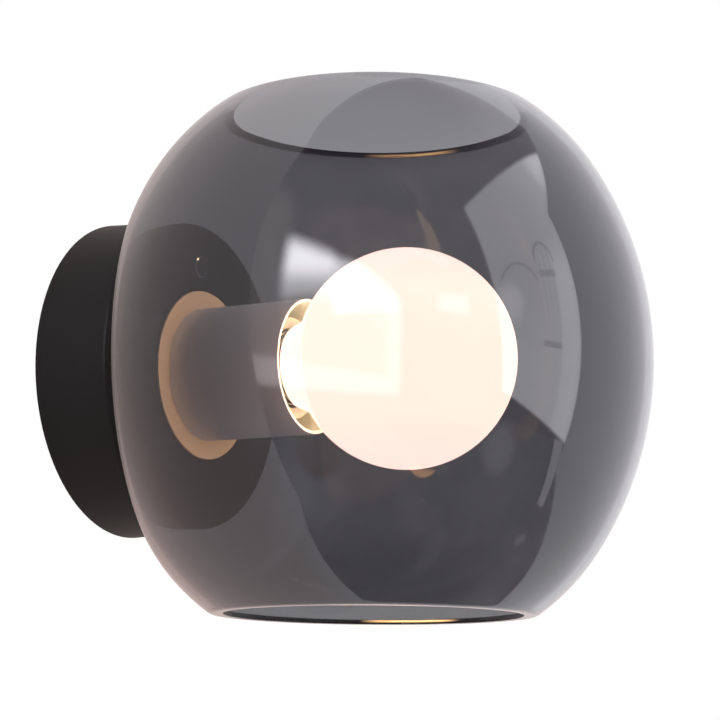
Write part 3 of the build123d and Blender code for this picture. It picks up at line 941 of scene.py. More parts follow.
@dataclass
class Globe:
    """The smoked glass globe: a barrel turned about Z, open at both ends and pressed flat at the wall.

    Sizes are in mm. Heights and radii are from the globe's own centre.

    Attributes:
        centre_out: Distance of its axis from the wall.
        wall: The glass's thickness.
        equator: Its widest radius.
        barrel: Radius of the barrel's long arc.
        shoulder: Radius of the arcs above and below it.
        shoulder_height: Height at which they join.
        half_height: Height of each rim from the middle.
        flat: Distance of the flat from the globe's axis.
        blend: Radius of the blend between flat and barrel.
        hole: Radius of the hole for the arm.
        rim_round: Size of the rims' rounding.
        steps_round: Faces round the axis.
        barrel_steps: Faces along the barrel's arc.
        shoulder_steps: Faces along each arc above and below it.
        rim_steps: Faces across each rounding.
        track_steps: Points on one side of the blend's track.
        push_rounds: Steps in which a point is brought onto the blend.
        drill_reach: How far the hole's cutter stands out on both sides.
        drill_steps: Faces round the hole.
        sharp: Edges that turn by more than this many degrees stay sharp.
    """

    centre_out: float = 107.7
    wall: float = 3.0
    equator: float = 100.5
    barrel: float = 128.0
    shoulder: float = 85.0
    shoulder_height: float = 68.0
    half_height: float = 92.0
    flat: float = 77.3
    blend: float = 45.0
    hole: float = 22.6
    rim_round: float = 1.2
    steps_round: int = 288
    barrel_steps: int = 56
    shoulder_steps: int = 14
    rim_steps: int = 5
    track_steps: int = 361
    push_rounds: int = 10
    drill_reach: float = 4.0
    drill_steps: int = 128
    sharp: float = 50.0

    def build(self, glass: bpy.types.Material) -> bpy.types.Object:
        """Makes the globe in place of its CAD node.

        Args:
            glass: Its material.

        Returns:
            The new piece.
        """
        mesh = self._section().turn(self.steps_round)
        self._press(mesh)
        self._move_out(mesh)
        piece = self._pierced(piece_from(mesh, "smoked_globe"))
        piece.data.materials.append(glass)
        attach(piece, "base")
        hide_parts("globe_shade")
        return piece

    def _move_out(self, mesh: bmesh.types.BMesh) -> None:
        """Moves a mesh from the origin to the globe's centre."""
        bmesh.ops.translate(mesh, verts=mesh.verts[:], vec=(0.0, -self.centre_out * MM, 0.0))

    def _lean(self) -> float:
        """The angle, in degrees, at which barrel and shoulder join."""
        return math.degrees(math.asin(self.shoulder_height / self.barrel))

    def _barrel_centre(self) -> float:
        """The radius at which the barrel's arc has its centre."""
        return self.equator - self.barrel

    def _shoulder_centre(self) -> tuple[float, float]:
        """Where the shoulder's arc has its centre.

        Returns:
            The centre as (radius, height).
        """
        lean = math.radians(self._lean())
        step = self.barrel - self.shoulder
        return self._barrel_centre() + step * math.cos(lean), step * math.sin(lean)

    def _blend_plane(self) -> float:
        """Distance from the globe's axis at which the blend's rolling ball runs."""
        return self.flat - self.blend

    def _section(self) -> Outline:
        """Draws the wall, from the outside of the lower rim up and back down inside.

        Returns:
            The closed section.
        """
        lean = self._lean()
        centre_r, centre_z = self._shoulder_centre()
        barrel_r = self._barrel_centre()
        inside = self.shoulder - self.wall
        reach = self.half_height - centre_z
        outer_end = math.degrees(math.asin(reach / self.shoulder))
        inner_end = math.degrees(math.asin(reach / inside))
        outer_r = centre_r + math.sqrt(self.shoulder**2 - reach**2)
        inner_r = centre_r + math.sqrt(inside**2 - reach**2)
        outline = Outline(outer_r, -self.half_height)
        outline.arc(centre_r, -centre_z, outer_end - lean, self.shoulder_steps)
        outline.arc(barrel_r, 0.0, 2 * lean, self.barrel_steps)
        outline.arc(centre_r, centre_z, outer_end - lean, self.shoulder_steps)
        outline.line(inner_r, self.half_height)
        outline.arc(centre_r, centre_z, lean - inner_end, self.shoulder_steps)
        outline.arc(barrel_r, 0.0, -2 * lean, self.barrel_steps)
        outline.arc(centre_r, -centre_z, lean - inner_end, self.shoulder_steps)
        return outline.close()

    def _round_rims(self, mesh: bmesh.types.BMesh) -> None:
        """Rounds the edges of both rims.

        Args:
            mesh: The turned wall.
        """
        level = (self.half_height - 1e-3) * MM
        edges = [
            edge
            for edge in mesh.edges
            if all(abs(vert.co.z) > level for vert in edge.verts)
            and abs(edge.verts[0].co.xy.length - edge.verts[1].co.xy.length) < 1e-6
        ]
        bmesh.ops.bevel(
            mesh,
            geom=edges,
            offset=self.rim_round * MM,
            segments=self.rim_steps,
            profile=0.5,
            affect="EDGES",
            material=-1,
        )

    def _press(self, mesh: bmesh.types.BMesh) -> None:
        """Rounds the rims, then presses the wall's side flat with its blend.

        Args:
            mesh: The turned wall.
        """
        self._round_rims(mesh)
        track = self._ball_track()
        plane = self._blend_plane() * MM
        for vert in mesh.verts:
            depth, ball_radius = self._seat(vert.co)
            if vert.co.y > 0.0 and ball_radius * vert.co.y / vert.co.xy.length > plane:
                self._push(vert, track, self.wall if depth > self.wall / 2 else 0.0)

    def _seat(self, point: Vector) -> tuple[float, float]:
        """Where a point stands in the form before it is pressed.

        Args:
            point: The point, m.

        Returns:
            Its depth inside the outer form, mm, and how far from the Z axis the middle of a ball
            of the blend's size would be that touches the form there, m.
        """
        radius, height = point.xy.length / MM, abs(point.z) / MM
        centre_r, centre_z, size = self._barrel_centre(), 0.0, self.barrel
        if math.atan2(height, radius - centre_r) > math.radians(self._lean()):
            centre_r, centre_z = self._shoulder_centre()
            size = self.shoulder
        away = math.hypot(radius - centre_r, height - centre_z)
        ball_radius = centre_r + (size - self.blend) * (radius - centre_r) / away
        return size - away, ball_radius * MM

    def _offset_radius(self, height: float, inset: float) -> float:
        """The radius, at a height, of the outer form moved inwards.

        Args:
            height: The height, mm.
            inset: How far the form is moved in, mm.

        Returns:
            The radius, mm.
        """
        height = abs(height)
        if height <= self.shoulder_height * (self.barrel - inset) / self.barrel:
            return self._barrel_centre() + math.sqrt((self.barrel - inset) ** 2 - height**2)
        centre_r, centre_z = self._shoulder_centre()
        return centre_r + math.sqrt(max((self.shoulder - inset) ** 2 - (height - centre_z) ** 2, 0.0))

    def _ball_track(self) -> np.ndarray:
        """Finds where the centre of the blend's rolling ball runs.

        Returns:
            The track as closed (x, z) points, mm.
        """
        plane = self._blend_plane()
        centre_r, centre_z = self._shoulder_centre()
        top = centre_z + math.sqrt((self.shoulder - self.blend) ** 2 - (plane - centre_r) ** 2)
        heights = top * np.sin(np.linspace(-math.pi / 2, math.pi / 2, self.track_steps))
        radii = np.array([self._offset_radius(height, self.blend) for height in heights])
        sides = np.sqrt(np.maximum(radii**2 - plane**2, 0.0))
        right = np.stack([sides, heights], 1)
        left = np.stack([-sides, heights], 1)[::-1]
        return np.concatenate([right, left[1:]])

    def _push(self, vert: bmesh.types.BMVert, track: np.ndarray, inset: float) -> None:
        """Moves a vertex straight towards the Z axis onto the pressed form.

        Args:
            vert: The vertex.
            track: The rolling ball's track.
            inset: How far the vertex's surface lies inside the outer form, mm.
        """
        start = vert.co.xy.length / MM
        across, out = vert.co.x / MM / start, vert.co.y / MM / start
        height = vert.co.z / MM
        plane = self._blend_plane()
        half_width = self._offset_radius(height, self.blend) ** 2 - plane**2
        inside_track = abs(height) < track[:, 1].max() and half_width > 0.0
        distance = (self.flat - inset) / out
        if not (inside_track and abs(distance * across) < math.sqrt(half_width)):
            distance = self._blend_distance((across, out, height), track, inset, start)
        if distance < start:
            vert.co.x, vert.co.y = distance * across * MM, distance * out * MM

    def _blend_distance(
        self, ray: tuple[float, float, float], track: np.ndarray, inset: float, start: float
    ) -> float:
        """Finds where a level line from the Z axis meets the blend.

        Args:
            ray: The line's direction as (across, out), of length 1, and its height, mm.
            track: The rolling ball's track.
            inset: How far the surface lies inside the outer form, mm.
            start: Distance from the Z axis at which to begin, mm.

        Returns:
            The distance from the Z axis, mm.
        """
        across, out, height = ray
        plane, ball = self._blend_plane(), self.blend - inset
        begin, run = track[:-1], track[1:] - track[:-1]
        length_squared = (run**2).sum(1)
        distance = start
        for _ in range(self.push_rounds):
            x, y = distance * across, distance * out
            point = np.array([x, height])
            share = np.clip(((point - begin) * run).sum(1) / length_squared, 0.0, 1.0)
            gaps = point - (begin + share[:, None] * run)
            nearest = gaps[(gaps**2).sum(1).argmin()]
            gap = math.sqrt((nearest**2).sum() + (y - plane) ** 2)
            distance -= (gap - ball) * gap / (nearest[0] * across + (y - plane) * out)
        return distance

    def _pierced(self, piece: bpy.types.Object) -> bpy.types.Object:
        """Cuts the round hole for the arm through the flat wall.

        Args:
            piece: The globe.

        Returns:
            The same piece with its new mesh.
        """
        near, far = self.flat - self.wall - self.drill_reach, self.flat + self.drill_reach
        outline = Outline(0.0, near).line(self.hole, near).line(self.hole, far).line(0.0, far)
        drill = outline.turn(self.drill_steps)
        tip_over(drill, -90.0)
        self._move_out(drill)
        bmesh.ops.recalc_face_normals(drill, faces=drill.faces[:])
        cutter = piece_from(drill, "hole_cutter")
        cut = piece.modifiers.new("hole", "BOOLEAN")
        cut.operation, cut.solver, cut.object = "DIFFERENCE", "EXACT", cutter
        evaluated = piece.evaluated_get(bpy.context.evaluated_depsgraph_get())
        data = bpy.data.meshes.new_from_object(evaluated)
        piece.modifiers.clear()
        piece.data = data
        bpy.data.objects.remove(cutter)
        smooth(data, self.sharp)
        return piece


@dataclass
class Bulb:
    """The opal globe bulb and its screw cap; sizes in mm, heights counted from the wall.

    Attributes:
        ball: The ball's radius.
        centre: The ball's height.
        flare: Radius of the neck's flare.
        flare_height: Height of the flare's centre.
        shoulder: Height at which the neck steps in to the tail.
        tail_radius: The tail's radius.
        tail: Height of the tail's end.
        step_out: How far the step's slope lies outside the tail.
        step_down: How far it comes down.
        wall: The glass's thickness.
        crest: Radius of the thread's crest.
        root: Radius of its root.
        bore: Radius of the cap's bore.
        hole: Radius of the hole in its back.
        pitch: The thread's pitch.
        run_out: Length over which the thread ends.
        thread_front: Height of the thread's front end.
        thread_back: Height of its back end.
        cap_back: Height of the cap's back.
        flare_out: How far the cap's front lip stands out from the crest.
        flare_length: How far it begins in front of the thread.
        lip_round: Size of the lip's rounding.
        lip_gap: How far the lip stays behind the glass's step.
        sheet: Thickness of the cap's sheet.
        back_round: The rounding of its back edge, as (radius, height).
        bore_back: Height of the bore's end from the cap's back.
        steps_round: Faces round the axis.
        ball_steps: Faces along the ball's arc.
        flare_steps: Faces along the flare's arc.
        thread_steps: Rings of points along the thread.
        slack: How far inside the root a point still counts as the thread's.
    """

    ball: float = 40.0
    centre: float = 120.5
    flare: float = 22.0
    flare_height: float = 70.4
    shoulder: float = 76.6
    tail_radius: float = 11.9
    tail: float = 62.0
    step_out: float = 1.5
    step_down: float = 2.4
    wall: float = 1.2
    crest: float = 13.2
    root: float = 12.5
    bore: float = 12.0
    hole: float = 9.4
    pitch: float = 3.629
    run_out: float = 1.5
    thread_front: float = 72.4
    thread_back: float = 54.0
    cap_back: float = 52.5
    flare_out: float = 1.1
    flare_length: float = 1.2
    lip_round: float = 0.5
    lip_gap: float = 0.2
    sheet: float = 0.6
    back_round: tuple[float, float] = (1.2, 0.8)
    bore_back: float = 1.6
    steps_round: int = 192
    ball_steps: int = 96
    flare_steps: int = 24
    thread_steps: int = 110
    slack: float = 0.05

    def build(self, materials: dict[str, bpy.types.Material]) -> bpy.types.Object:
        """Makes the glass and the cap in place of their CAD nodes.

        Args:
            materials: The materials by slot name.

        Returns:
            The glass.
        """
        glass = self._placed(self._glass_section(), "opal_bulb", "bulb_glass", "opal_glass", materials)
        cap = self._placed(self._cap_section(), "threaded_cap", "bulb_cap", "cap_metal", materials)
        return glass

    @staticmethod
    def _placed(
        mesh: bmesh.types.BMesh, name: str, node: str, slot: str, materials: dict[str, bpy.types.Material]
    ) -> bpy.types.Object:
        """Lays a turned mesh along the arm's axis and makes it a piece that stands for a node.

        Args:
            mesh: The mesh.
            name: The piece's name.
            node: The CAD node that it replaces.
            slot: Its material slot.
            materials: The materials by slot name.

        Returns:
            The new piece.
        """
        tip_over(mesh, 90.0)
        piece = piece_from(mesh, name)
        piece.data.materials.append(materials[slot])
        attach(piece, "bulb")
        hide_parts(node)
        return piece

    def _neck(self, inset: float) -> tuple[float, float, float, float]:
        """The neck's measures for the form moved in by inset, mm and degrees.

        Args:
            inset: How far the form is moved in, mm.

        Returns:
            The flare's centre radius, the angle at which ball and flare join, the angle at which
            the flare ends, and the neck's radius there.
        """
        centre_r = math.sqrt((self.ball + self.flare) ** 2 - (self.centre - self.flare_height) ** 2)
        lean = math.degrees(math.atan2(self.centre - self.flare_height, centre_r))
        size = self.flare + inset
        rise = math.asin((self.shoulder + inset - self.flare_height) / size)
        return centre_r, lean, math.degrees(rise), centre_r - size * math.cos(rise)

    def _glass_section(self) -> bmesh.types.BMesh:
        """Draws the glass wall, outside and back inside: ball, flared neck, shoulder and open tail.

        Returns:
            The wall turned about Z.
        """
        centre_r, lean, rise, _ = self._neck(0.0)
        _, _, rise_in, neck_in = self._neck(self.wall)
        tail_in, shoulder_in = self.tail_radius - self.wall, self.shoulder + self.wall
        outline = Outline(0.0, self.centre + self.ball)
        outline.arc(0.0, self.centre, -90.0 - lean, self.ball_steps)
        outline.arc(centre_r, self.flare_height, lean - rise, self.flare_steps)
        outline.line(self.tail_radius + self.step_out, self.shoulder)
        outline.line(self.tail_radius, self.shoulder - self.step_down)
        outline.line(self.tail_radius, self.tail)
        outline.line(tail_in, self.tail)
        outline.line(tail_in, shoulder_in - self.step_down)
        outline.line(tail_in + self.step_out, shoulder_in)
        outline.line(neck_in, shoulder_in)
        outline.arc(centre_r, self.flare_height, rise_in - lean, self.flare_steps)
        outline.arc(0.0, self.centre, 90.0 + lean, self.ball_steps)
        return outline.turn(self.steps_round)

    def _cap_section(self) -> bmesh.types.BMesh:
        """Draws the screw cap's sheet and rolls a thread that climbs round it.

        Returns:
            The cap turned about Z.
        """
        front, lip = self.thread_front + self.flare_length, self.crest + self.flare_out
        round_in, round_up = self.back_round
        outline = Outline(lip - self.lip_round, self.shoulder - self.lip_gap)
        outline.line(lip, self.shoulder - 2 * self.lip_gap)
        outline.line(self.crest, front)
        outline.line(self.root, self.thread_front)
        outline.line(self.root, self.thread_back, self.thread_steps)
        outline.line(self.root, self.cap_back + round_up)
        outline.line(self.root - round_in, self.cap_back)
        outline.line(self.hole, self.cap_back)
        outline.line(self.hole, self.cap_back + self.sheet)
        outline.line(self.bore, self.cap_back + self.bore_back)
        outline.line(self.bore, front + self.sheet)
        mesh = outline.close().turn(self.steps_round)
        for vert in mesh.verts:
            self._roll(vert)
        bmesh.ops.recalc_face_normals(mesh, faces=mesh.faces[:])
        return mesh

    def _roll(self, vert: bmesh.types.BMVert) -> None:
        """Moves a vertex of the cap out onto the thread, if it lies there.

        Args:
            vert: The vertex.
        """
        height, radius = vert.co.z / MM, vert.co.xy.length / MM
        if radius > self.root - self.slack and self.thread_back < height < self.thread_front:
            turned = height / self.pitch - math.atan2(vert.co.y, vert.co.x) / (2.0 * math.pi)
            ridge = 0.5 + 0.5 * math.cos(2.0 * math.pi * turned)
            ends = min(height - self.thread_back, self.thread_front - height, self.run_out) / self.run_out
            vert.co.xy *= 1.0 + (self.crest - self.root) * ridge * ends / radius


# ---- Dressing of the CAD nodes ----


def finish_materials() -> dict[str, bpy.types.Material]:
    """Makes every finish's material once, by slot name."""
    return {finish.slot: finish.material() for finish in FINISHES}


def dress_nodes(nodes: dict[str, bpy.types.Object], materials: dict[str, bpy.types.Material]) -> None:
    """Gives each CAD node the material of its slot.

    Args:
        nodes: The CAD nodes by name.
        materials: The materials by slot name.
    """
    for name, node in sorted(nodes.items()):
        for slot in node.material_slots:
            key = slot.material.name.split(".")[0]
            slot.material = materials[key]
        LOG.info("%s wears %s", name, [slot.material.name for slot in node.material_slots])


# ---- Stage ----


def toward(azimuth: float, elevation: float) -> Vector:
    """The direction, from the lamp, of an azimuth from -Y and an elevation, in degrees."""
    a, e = math.radians(azimuth), math.radians(elevation)
    return Vector((math.sin(a) * math.cos(e), -math.cos(a) * math.cos(e), math.sin(e)))


def facing(paint: Paint, direction: Vector) -> Signal:
    """The cosine of the angle between a direction, of length 1, and the point's from the lamp."""
    along = paint.node("VectorMath", {"operation": "NORMALIZE"}, {0: paint.position()})
    return paint.node("VectorMath", {"operation": "DOT_PRODUCT"}, {0: along, 1: direction}, "Value")


@dataclass(frozen=True)
class Patch:
    """A straight-sided patch of the room.

    Attributes:
        corners: The directions of its corners as (azimuth, elevation) in degrees, in turn.
        soft: Softness of its edges.
        colour: Its colour, where it has one of its own.
    """

    corners: tuple[Direction, ...]
    soft: float
    colour: Colour = WHITE

    def mask(self, paint: Paint) -> Signal:
        """1 inside the patch and 0 outside.

        Args:
            paint: The node tree to add it to.

        Returns:
            The mask.
        """
        points = [toward(*corner) for corner in self.corners]
        middle = sum(points, Vector())
        inside: Value = 1.0
        for first, second in zip(points, points[1:] + points[:1]):
            normal = first.cross(second).normalized()
            if normal.dot(middle) < 0.0:
                normal.negate()
            inside = facing(paint, normal).rise(-self.soft, self.soft) * inside
        return inside


@dataclass(frozen=True)
class Spot:
    """A round spot of the room.

    Attributes:
        azimuth: Its middle's azimuth, degrees.
        elevation: Its middle's elevation, degrees.
        size: Its radius, degrees.
        soft: How far its edge fades either way, degrees.
        colour: Its colour.
    """

    azimuth: float
    elevation: float
    size: float
    soft: float
    colour: Colour = WHITE

    def mask(self, paint: Paint) -> Signal:
        """1 inside the spot and 0 outside.

        Args:
            paint: The node tree to add it to.

        Returns:
            The mask.
        """
        outer = math.cos(math.radians(self.size + self.soft))
        inner = math.cos(math.radians(max(self.size - self.soft, 0.0)))
        return facing(paint, toward(self.azimuth, self.elevation)).rise(outer, inner)


@dataclass(frozen=True)
class Arch:
    """A round-headed line in the window: the part of a ring that stands above a level.

    Attributes:
        azimuth: The ring's azimuth, degrees.
        elevation: The ring's elevation, degrees.
        size: Its outer radius, degrees.
        level: The elevation at which it begins, degrees.
        width: The line's width, degrees.
        soft: How far the line's edges fade either way, degrees.
        fade: The degrees over which it begins.
    """

    azimuth: float
    elevation: float
    size: float
    level: float
    width: float = 0.8
    soft: float = 0.35
    fade: float = 2.0

    def mask(self, paint: Paint, height: Signal) -> Signal:
        """1 on the line and 0 elsewhere.

        Args:
            paint: The node tree to add it to.
            height: The height of the direction, from -1 to 1.

        Returns:
            The mask.
        """
        outer = Spot(self.azimuth, self.elevation, self.size, self.soft).mask(paint)
        inner = Spot(self.azimuth, self.elevation, self.size - self.width, self.soft).mask(paint)
        begin, end = (math.sin(math.radians(level)) for level in (self.level, self.level + self.fade))
        return (outer - inner) * height.rise(begin, end)


@dataclass(frozen=True)
class Window:
    """The bright window, with a second, arched and barred one seen in it.

    Pairs named after a height hold the heights, from -1 to 1, between which a tone changes.

    Attributes:
        outline: The whole window.
        upper: Its colour above.
        lower: Its colour below.
        side: The brighter part at one side.
        haze: Soft bright spots in it.
        arches: The lines of the arches.
        arch_colour: Their colour.
        inner: The barred part.
        bars_across: How fast the upright bars follow each other across.
        bars_lean: How much they lean.
        bars_edge: Sines between which a bar begins.
        bar_colour: Their colour.
        rails_up: How fast the level rails follow each other upwards.
        rails_edge: Sines between which a rail begins.
        rail_colour: Their colour.
    """

    outline: Patch = Patch(((-17.3, 41.9), (-8.7, -10.2), (45.0, -17.5), (51.3, 45.8)), 0.012)
    upper: Colour = (3.0, 2.95, 3.1)
    lower: Colour = (3.5, 3.45, 3.6)
    lower_height: Span = (0.45, -0.1)
    side: Patch = Patch(((17.0, 40.0), (17.0, -20.0), (40.0, -20.0), (40.0, 40.0)), 0.02, (4.0, 3.95, 4.1))
    side_height: Span = (0.55, 0.35)
    haze: tuple[Spot, ...] = (
        Spot(-6.0, 14.0, 2.0, 5.0, (4.3, 4.2, 4.4)),
        Spot(42.0, 44.0, 2.0, 6.0, (3.9, 3.85, 4.0)),
    )
    arches: tuple[Arch, ...] = (Arch(13.5, 25.5, 4.6, 24.0), Arch(-0.5, 15.5, 9.6, 19.0))
    arch_colour: Colour = (2.1, 2.05, 2.15)
    inner: Patch = Patch(((9.5, 27.0), (7.5, -4.0), (16.0, -6.0), (18.0, 27.0)), 0.008)
    bars_across: float = 150.0
    bars_lean: float = 12.0
    bars_edge: Span = (0.6, 0.95)
    bar_colour: Colour = (3.6, 3.55, 3.7)
    rails_up: float = 21.0
    rails_edge: Span = (0.93, 0.99)
    rail_colour: Colour = (2.3, 2.25, 2.35)

    def over(self, paint: Paint, tone: Signal, across: Signal, height: Signal) -> Signal:
        """Lays the window over the room's tone.

        Args:
            paint: The node tree to add it to.
            tone: The room's tone.
            across: The direction's share along X, from -1 to 1.
            height: The height of the direction, from -1 to 1.

        Returns:
            The new tone.
        """
        glass = paint.mix(height.rise(*self.lower_height), self.upper, self.lower)
        glass = paint.mix(self.side.mask(paint) * height.rise(*self.side_height), glass, self.side.colour)
        for spot in self.haze:
            glass = paint.mix(spot.mask(paint), glass, spot.colour)
        for arch in self.arches:
            glass = paint.mix(arch.mask(paint, height), glass, self.arch_colour)
        inner = self.inner.mask(paint)
        bars = (across * self.bars_across + height * self.bars_lean).sine().rise(*self.bars_edge)
        glass = paint.mix(inner * bars, glass, self.bar_colour)
        rails = (height * self.rails_up).sine().rise(*self.rails_edge)
        glass = paint.mix(inner * rails, glass, self.rail_colour)
        return paint.mix(self.outline.mask(paint), tone, glass)


def hide_from_direct_view(thing: bpy.types.Object) -> None:
    """Makes a stage piece show only in reflections and through glass, as its shader says.

    Args:
        thing: The stage piece.
    """
    thing.visible_camera = thing.visible_diffuse = thing.visible_shadow = False
    thing.visible_volume_scatter = False


def in_reflections(paint: Paint, glow: Signal, through: Signal | None = None) -> Signal:
    """A shader that shows a colour to reflected rays, and perhaps one to rays through glass.

    Args:
        paint: The node tree to add it to.
        glow: The colour that reflections show.
        through: The colour seen through glass, or None where the rays pass.

    Returns:
        The shader's output.
    """
    bounced = paint.node("LightPath", output="Glossy Depth") > 0.5
    rest = paint.node("BsdfTransparent", None, {"Color": opaque(WHITE)})
    if through is not None:
        passed = paint.node("LightPath", output="Transmission Depth") > 0.5
        rest = paint.node("MixShader", None, {0: passed, 1: rest, 2: paint.emission(through)})
    return paint.node("MixShader", None, {0: bounced, 1: rest, 2: paint.emission(glow)})


@dataclass
class Room:
    """A dim room round the lamp, painted by direction on a large ball that only reflections show.

    Pairs named after a height hold the heights, from -1 to 1, between which a tone changes, and
    pairs named after streaks the values of the streaks' noise.

    Attributes:
        radius: The ball's radius, m.
        fineness: How often the ball's faces are split.
        streaks: Streaks per metre.
        ceiling: The upper part's colours.
        overhead: The colour straight above.
        ground: The lower part's colours.
        underneath: The colour straight below.
        spots: Dim spots, in the order in which they are laid over the rest.
        window: The bright window.
        strip: A narrow light below it.
        near_wall: The part of the lamp's own wall that shows beside the window.
        far_wall: The part of that wall further round.
        side_wall: The lit part of the wall at the side.
        pane: The glass of the window in it.
        sill: That window's sill.
        jamb: That window's edge.
        sky: The sky in it.
        gleam: A small light beside it.
        painted_bulb_reflection: A warm painted reflection of the bulb, below it, cut off above by its height.
        softbox: The brightest light, its colours from above to below.
    """

    radius: float = 4.0
    fineness: int = 5
    streaks: float = 0.55
    ceiling: tuple[Colour, Colour] = ((0.52, 0.49, 0.56), (0.74, 0.70, 0.78))
    ceiling_streaks: Span = (0.3, 0.7)
    overhead: Colour = (0.10, 0.07, 0.12)
    overhead_height: Span = (0.80, 0.96)
    ground: tuple[Colour, Colour] = ((0.12, 0.09, 0.13), (0.34, 0.30, 0.35))
    ground_streaks: Span = (0.35, 0.65)
    ceiling_height: Span = (-0.15, 0.30)
    underneath: Colour = (0.05, 0.03, 0.05)
    underneath_height: Span = (-0.80, -0.95)
    spots: tuple[Spot, ...] = (
        Spot(-4.0, -26.0, 5.0, 4.0, (0.90, 0.85, 0.92)),
        Spot(-92.0, -44.0, 9.0, 5.0, (0.50, 0.47, 0.52)),
        Spot(34.5, -41.0, 2.0, 1.0, (0.75, 0.70, 0.75)),
        Spot(-85.0, -32.0, 9.0, 2.0, (0.20, 0.05, 0.0)),
    )
    window: Window = Window()
    strip: Patch = Patch(
        ((21.0, -17.0), (28.0, -32.0), (32.0, -31.5), (26.0, -16.5)), 0.006, (1.5, 1.45, 1.55)
    )
    near_wall: Patch = Patch(((27.0, 36.0), (27.0, -22.0), (79.0, -43.0), (168.0, -0.5), (51.3, 45.8)), 0.010)
    far_wall: Patch = Patch(((60.0, -30.0), (79.0, -43.0), (182.0, 0.0), (106.0, 60.0), (65.0, 50.0)), 0.010)
    wall_colour: Colour = (1.14, 1.12, 1.17)
    side_wall: Patch = Patch(
        ((-122.0, 50.0), (-118.0, -24.0), (-97.0, -24.0), (-99.0, 44.0)), 0.08, (1.25, 1.15, 1.15)
    )
    side_wall_height: Span = (-0.35, -0.05)
    pane: Patch = Patch(
        ((-98.0, 20.0), (-98.0, -10.0), (-51.5, -14.0), (-51.5, 13.0)), 0.030, (1.7, 1.50, 1.35)
    )
    sill: Patch = Patch(((-118.0, 0.5), (-118.0, -7.5), (-51.5, -15.0), (-51.5, -10.5)), 0.030)
    jamb: Patch = Patch(((-56.0, 14.0), (-56.0, -15.0), (-51.0, -15.5), (-51.0, 14.0)), 0.045)
    sill_colour: Colour = (3.3, 3.0, 3.2)
    sky: Patch = Patch(
        ((-80.0, 26.5), (-70.0, 26.5), (-52.0, 14.5), (-52.0, 10.5), (-76.0, 10.0)), 0.045, (8.5, 8.4, 8.8)
    )
    gleam: Patch = Patch(((-35.5, 15.5), (-35.5, 11.0), (-24.0, 10.5), (-24.0, 15.5)), 0.030, (2.9, 2.9, 3.1))
    painted_bulb_reflection: Spot = Spot(-37.0, -33.5, 6.4, 0.5, (5.2, 2.6, 1.2))
    painted_bulb_reflection_height: Span = (-0.590, -0.615)
    softbox: Patch = Patch(((-98.0, 33.0), (-98.0, 15.0), (-76.0, 15.0), (-76.0, 27.0)), 0.06)
    softbox_colours: tuple[Colour, Colour] = ((15.6, 15.4, 15.8), (6.4, 6.3, 6.5))
    softbox_height: Span = (0.44, 0.30)

    def build(self) -> None:
        """Makes the room."""
        mesh = bmesh.new()
        bmesh.ops.create_icosphere(mesh, subdivisions=self.fineness, radius=self.radius)
        room = piece_from(mesh, "room")
        material = painted("room_paint", self._shader)
        material.cycles.emission_sampling = "NONE"
        room.data.materials.append(material)
        hide_from_direct_view(room)

    def _shader(self, paint: Paint) -> Signal:
        """The room's shader."""
        return in_reflections(paint, self._colour(paint))

    def _walls(self, paint: Paint, height: Signal) -> Signal:
        """The ceiling and the ground, streaked, with their darker middles.

        Args:
            paint: The node tree to add it to.
            height: The height of the direction, from -1 to 1.

        Returns:
            The colour.
        """
        streaks = paint.noise(self.streaks, detail=3.0, roughness=0.55)
        ceiling = paint.mix(streaks.rise(*self.ceiling_streaks), *self.ceiling)
        ceiling = paint.mix(height.rise(*self.overhead_height), ceiling, self.overhead)
        ground = paint.mix(streaks.rise(*self.ground_streaks), *self.ground)
        tone = paint.mix(height.rise(*self.ceiling_height), ground, ceiling)
        return paint.mix(height.rise(*self.underneath_height), tone, self.underneath)

    def _colour(self, paint: Paint) -> Signal:
        """The room's colour by direction.

        Args:
            paint: The node tree to add it to.

        Returns:
            The colour.
        """
        across, height = paint.along("X") / self.radius, paint.along("Z") / self.radius
        tone = self._walls(paint, height)
        for spot in self.spots:
            tone = paint.mix(spot.mask(paint), tone, spot.colour)
        tone = self.window.over(paint, tone, across, height)
        tone = paint.mix(self.strip.mask(paint), tone, self.strip.colour)
        tone = paint.mix(self.near_wall.mask(paint).either(self.far_wall.mask(paint)), tone, self.wall_colour)
        side = self.side_wall.mask(paint) * height.rise(*self.side_wall_height)
        tone = paint.mix(side, tone, self.side_wall.colour)
        tone = paint.mix(self.pane.mask(paint), tone, self.pane.colour)
        tone = paint.mix(self.sill.mask(paint).either(self.jamb.mask(paint)), tone, self.sill_colour)
        for patch in (self.sky, self.gleam):
            tone = paint.mix(patch.mask(paint), tone, patch.colour)
        # Painted reflection of the bulb's glow in the glass, below the bulb.
        painted_bulb_reflection = self.painted_bulb_reflection.mask(paint) * height.rise(*self.painted_bulb_reflection_height)
        tone = paint.mix(painted_bulb_reflection, tone, self.painted_bulb_reflection.colour)
        light = paint.mix(height.rise(*self.softbox_height), *self.softbox_colours)
        return paint.mix(self.softbox.mask(paint), tone, light)


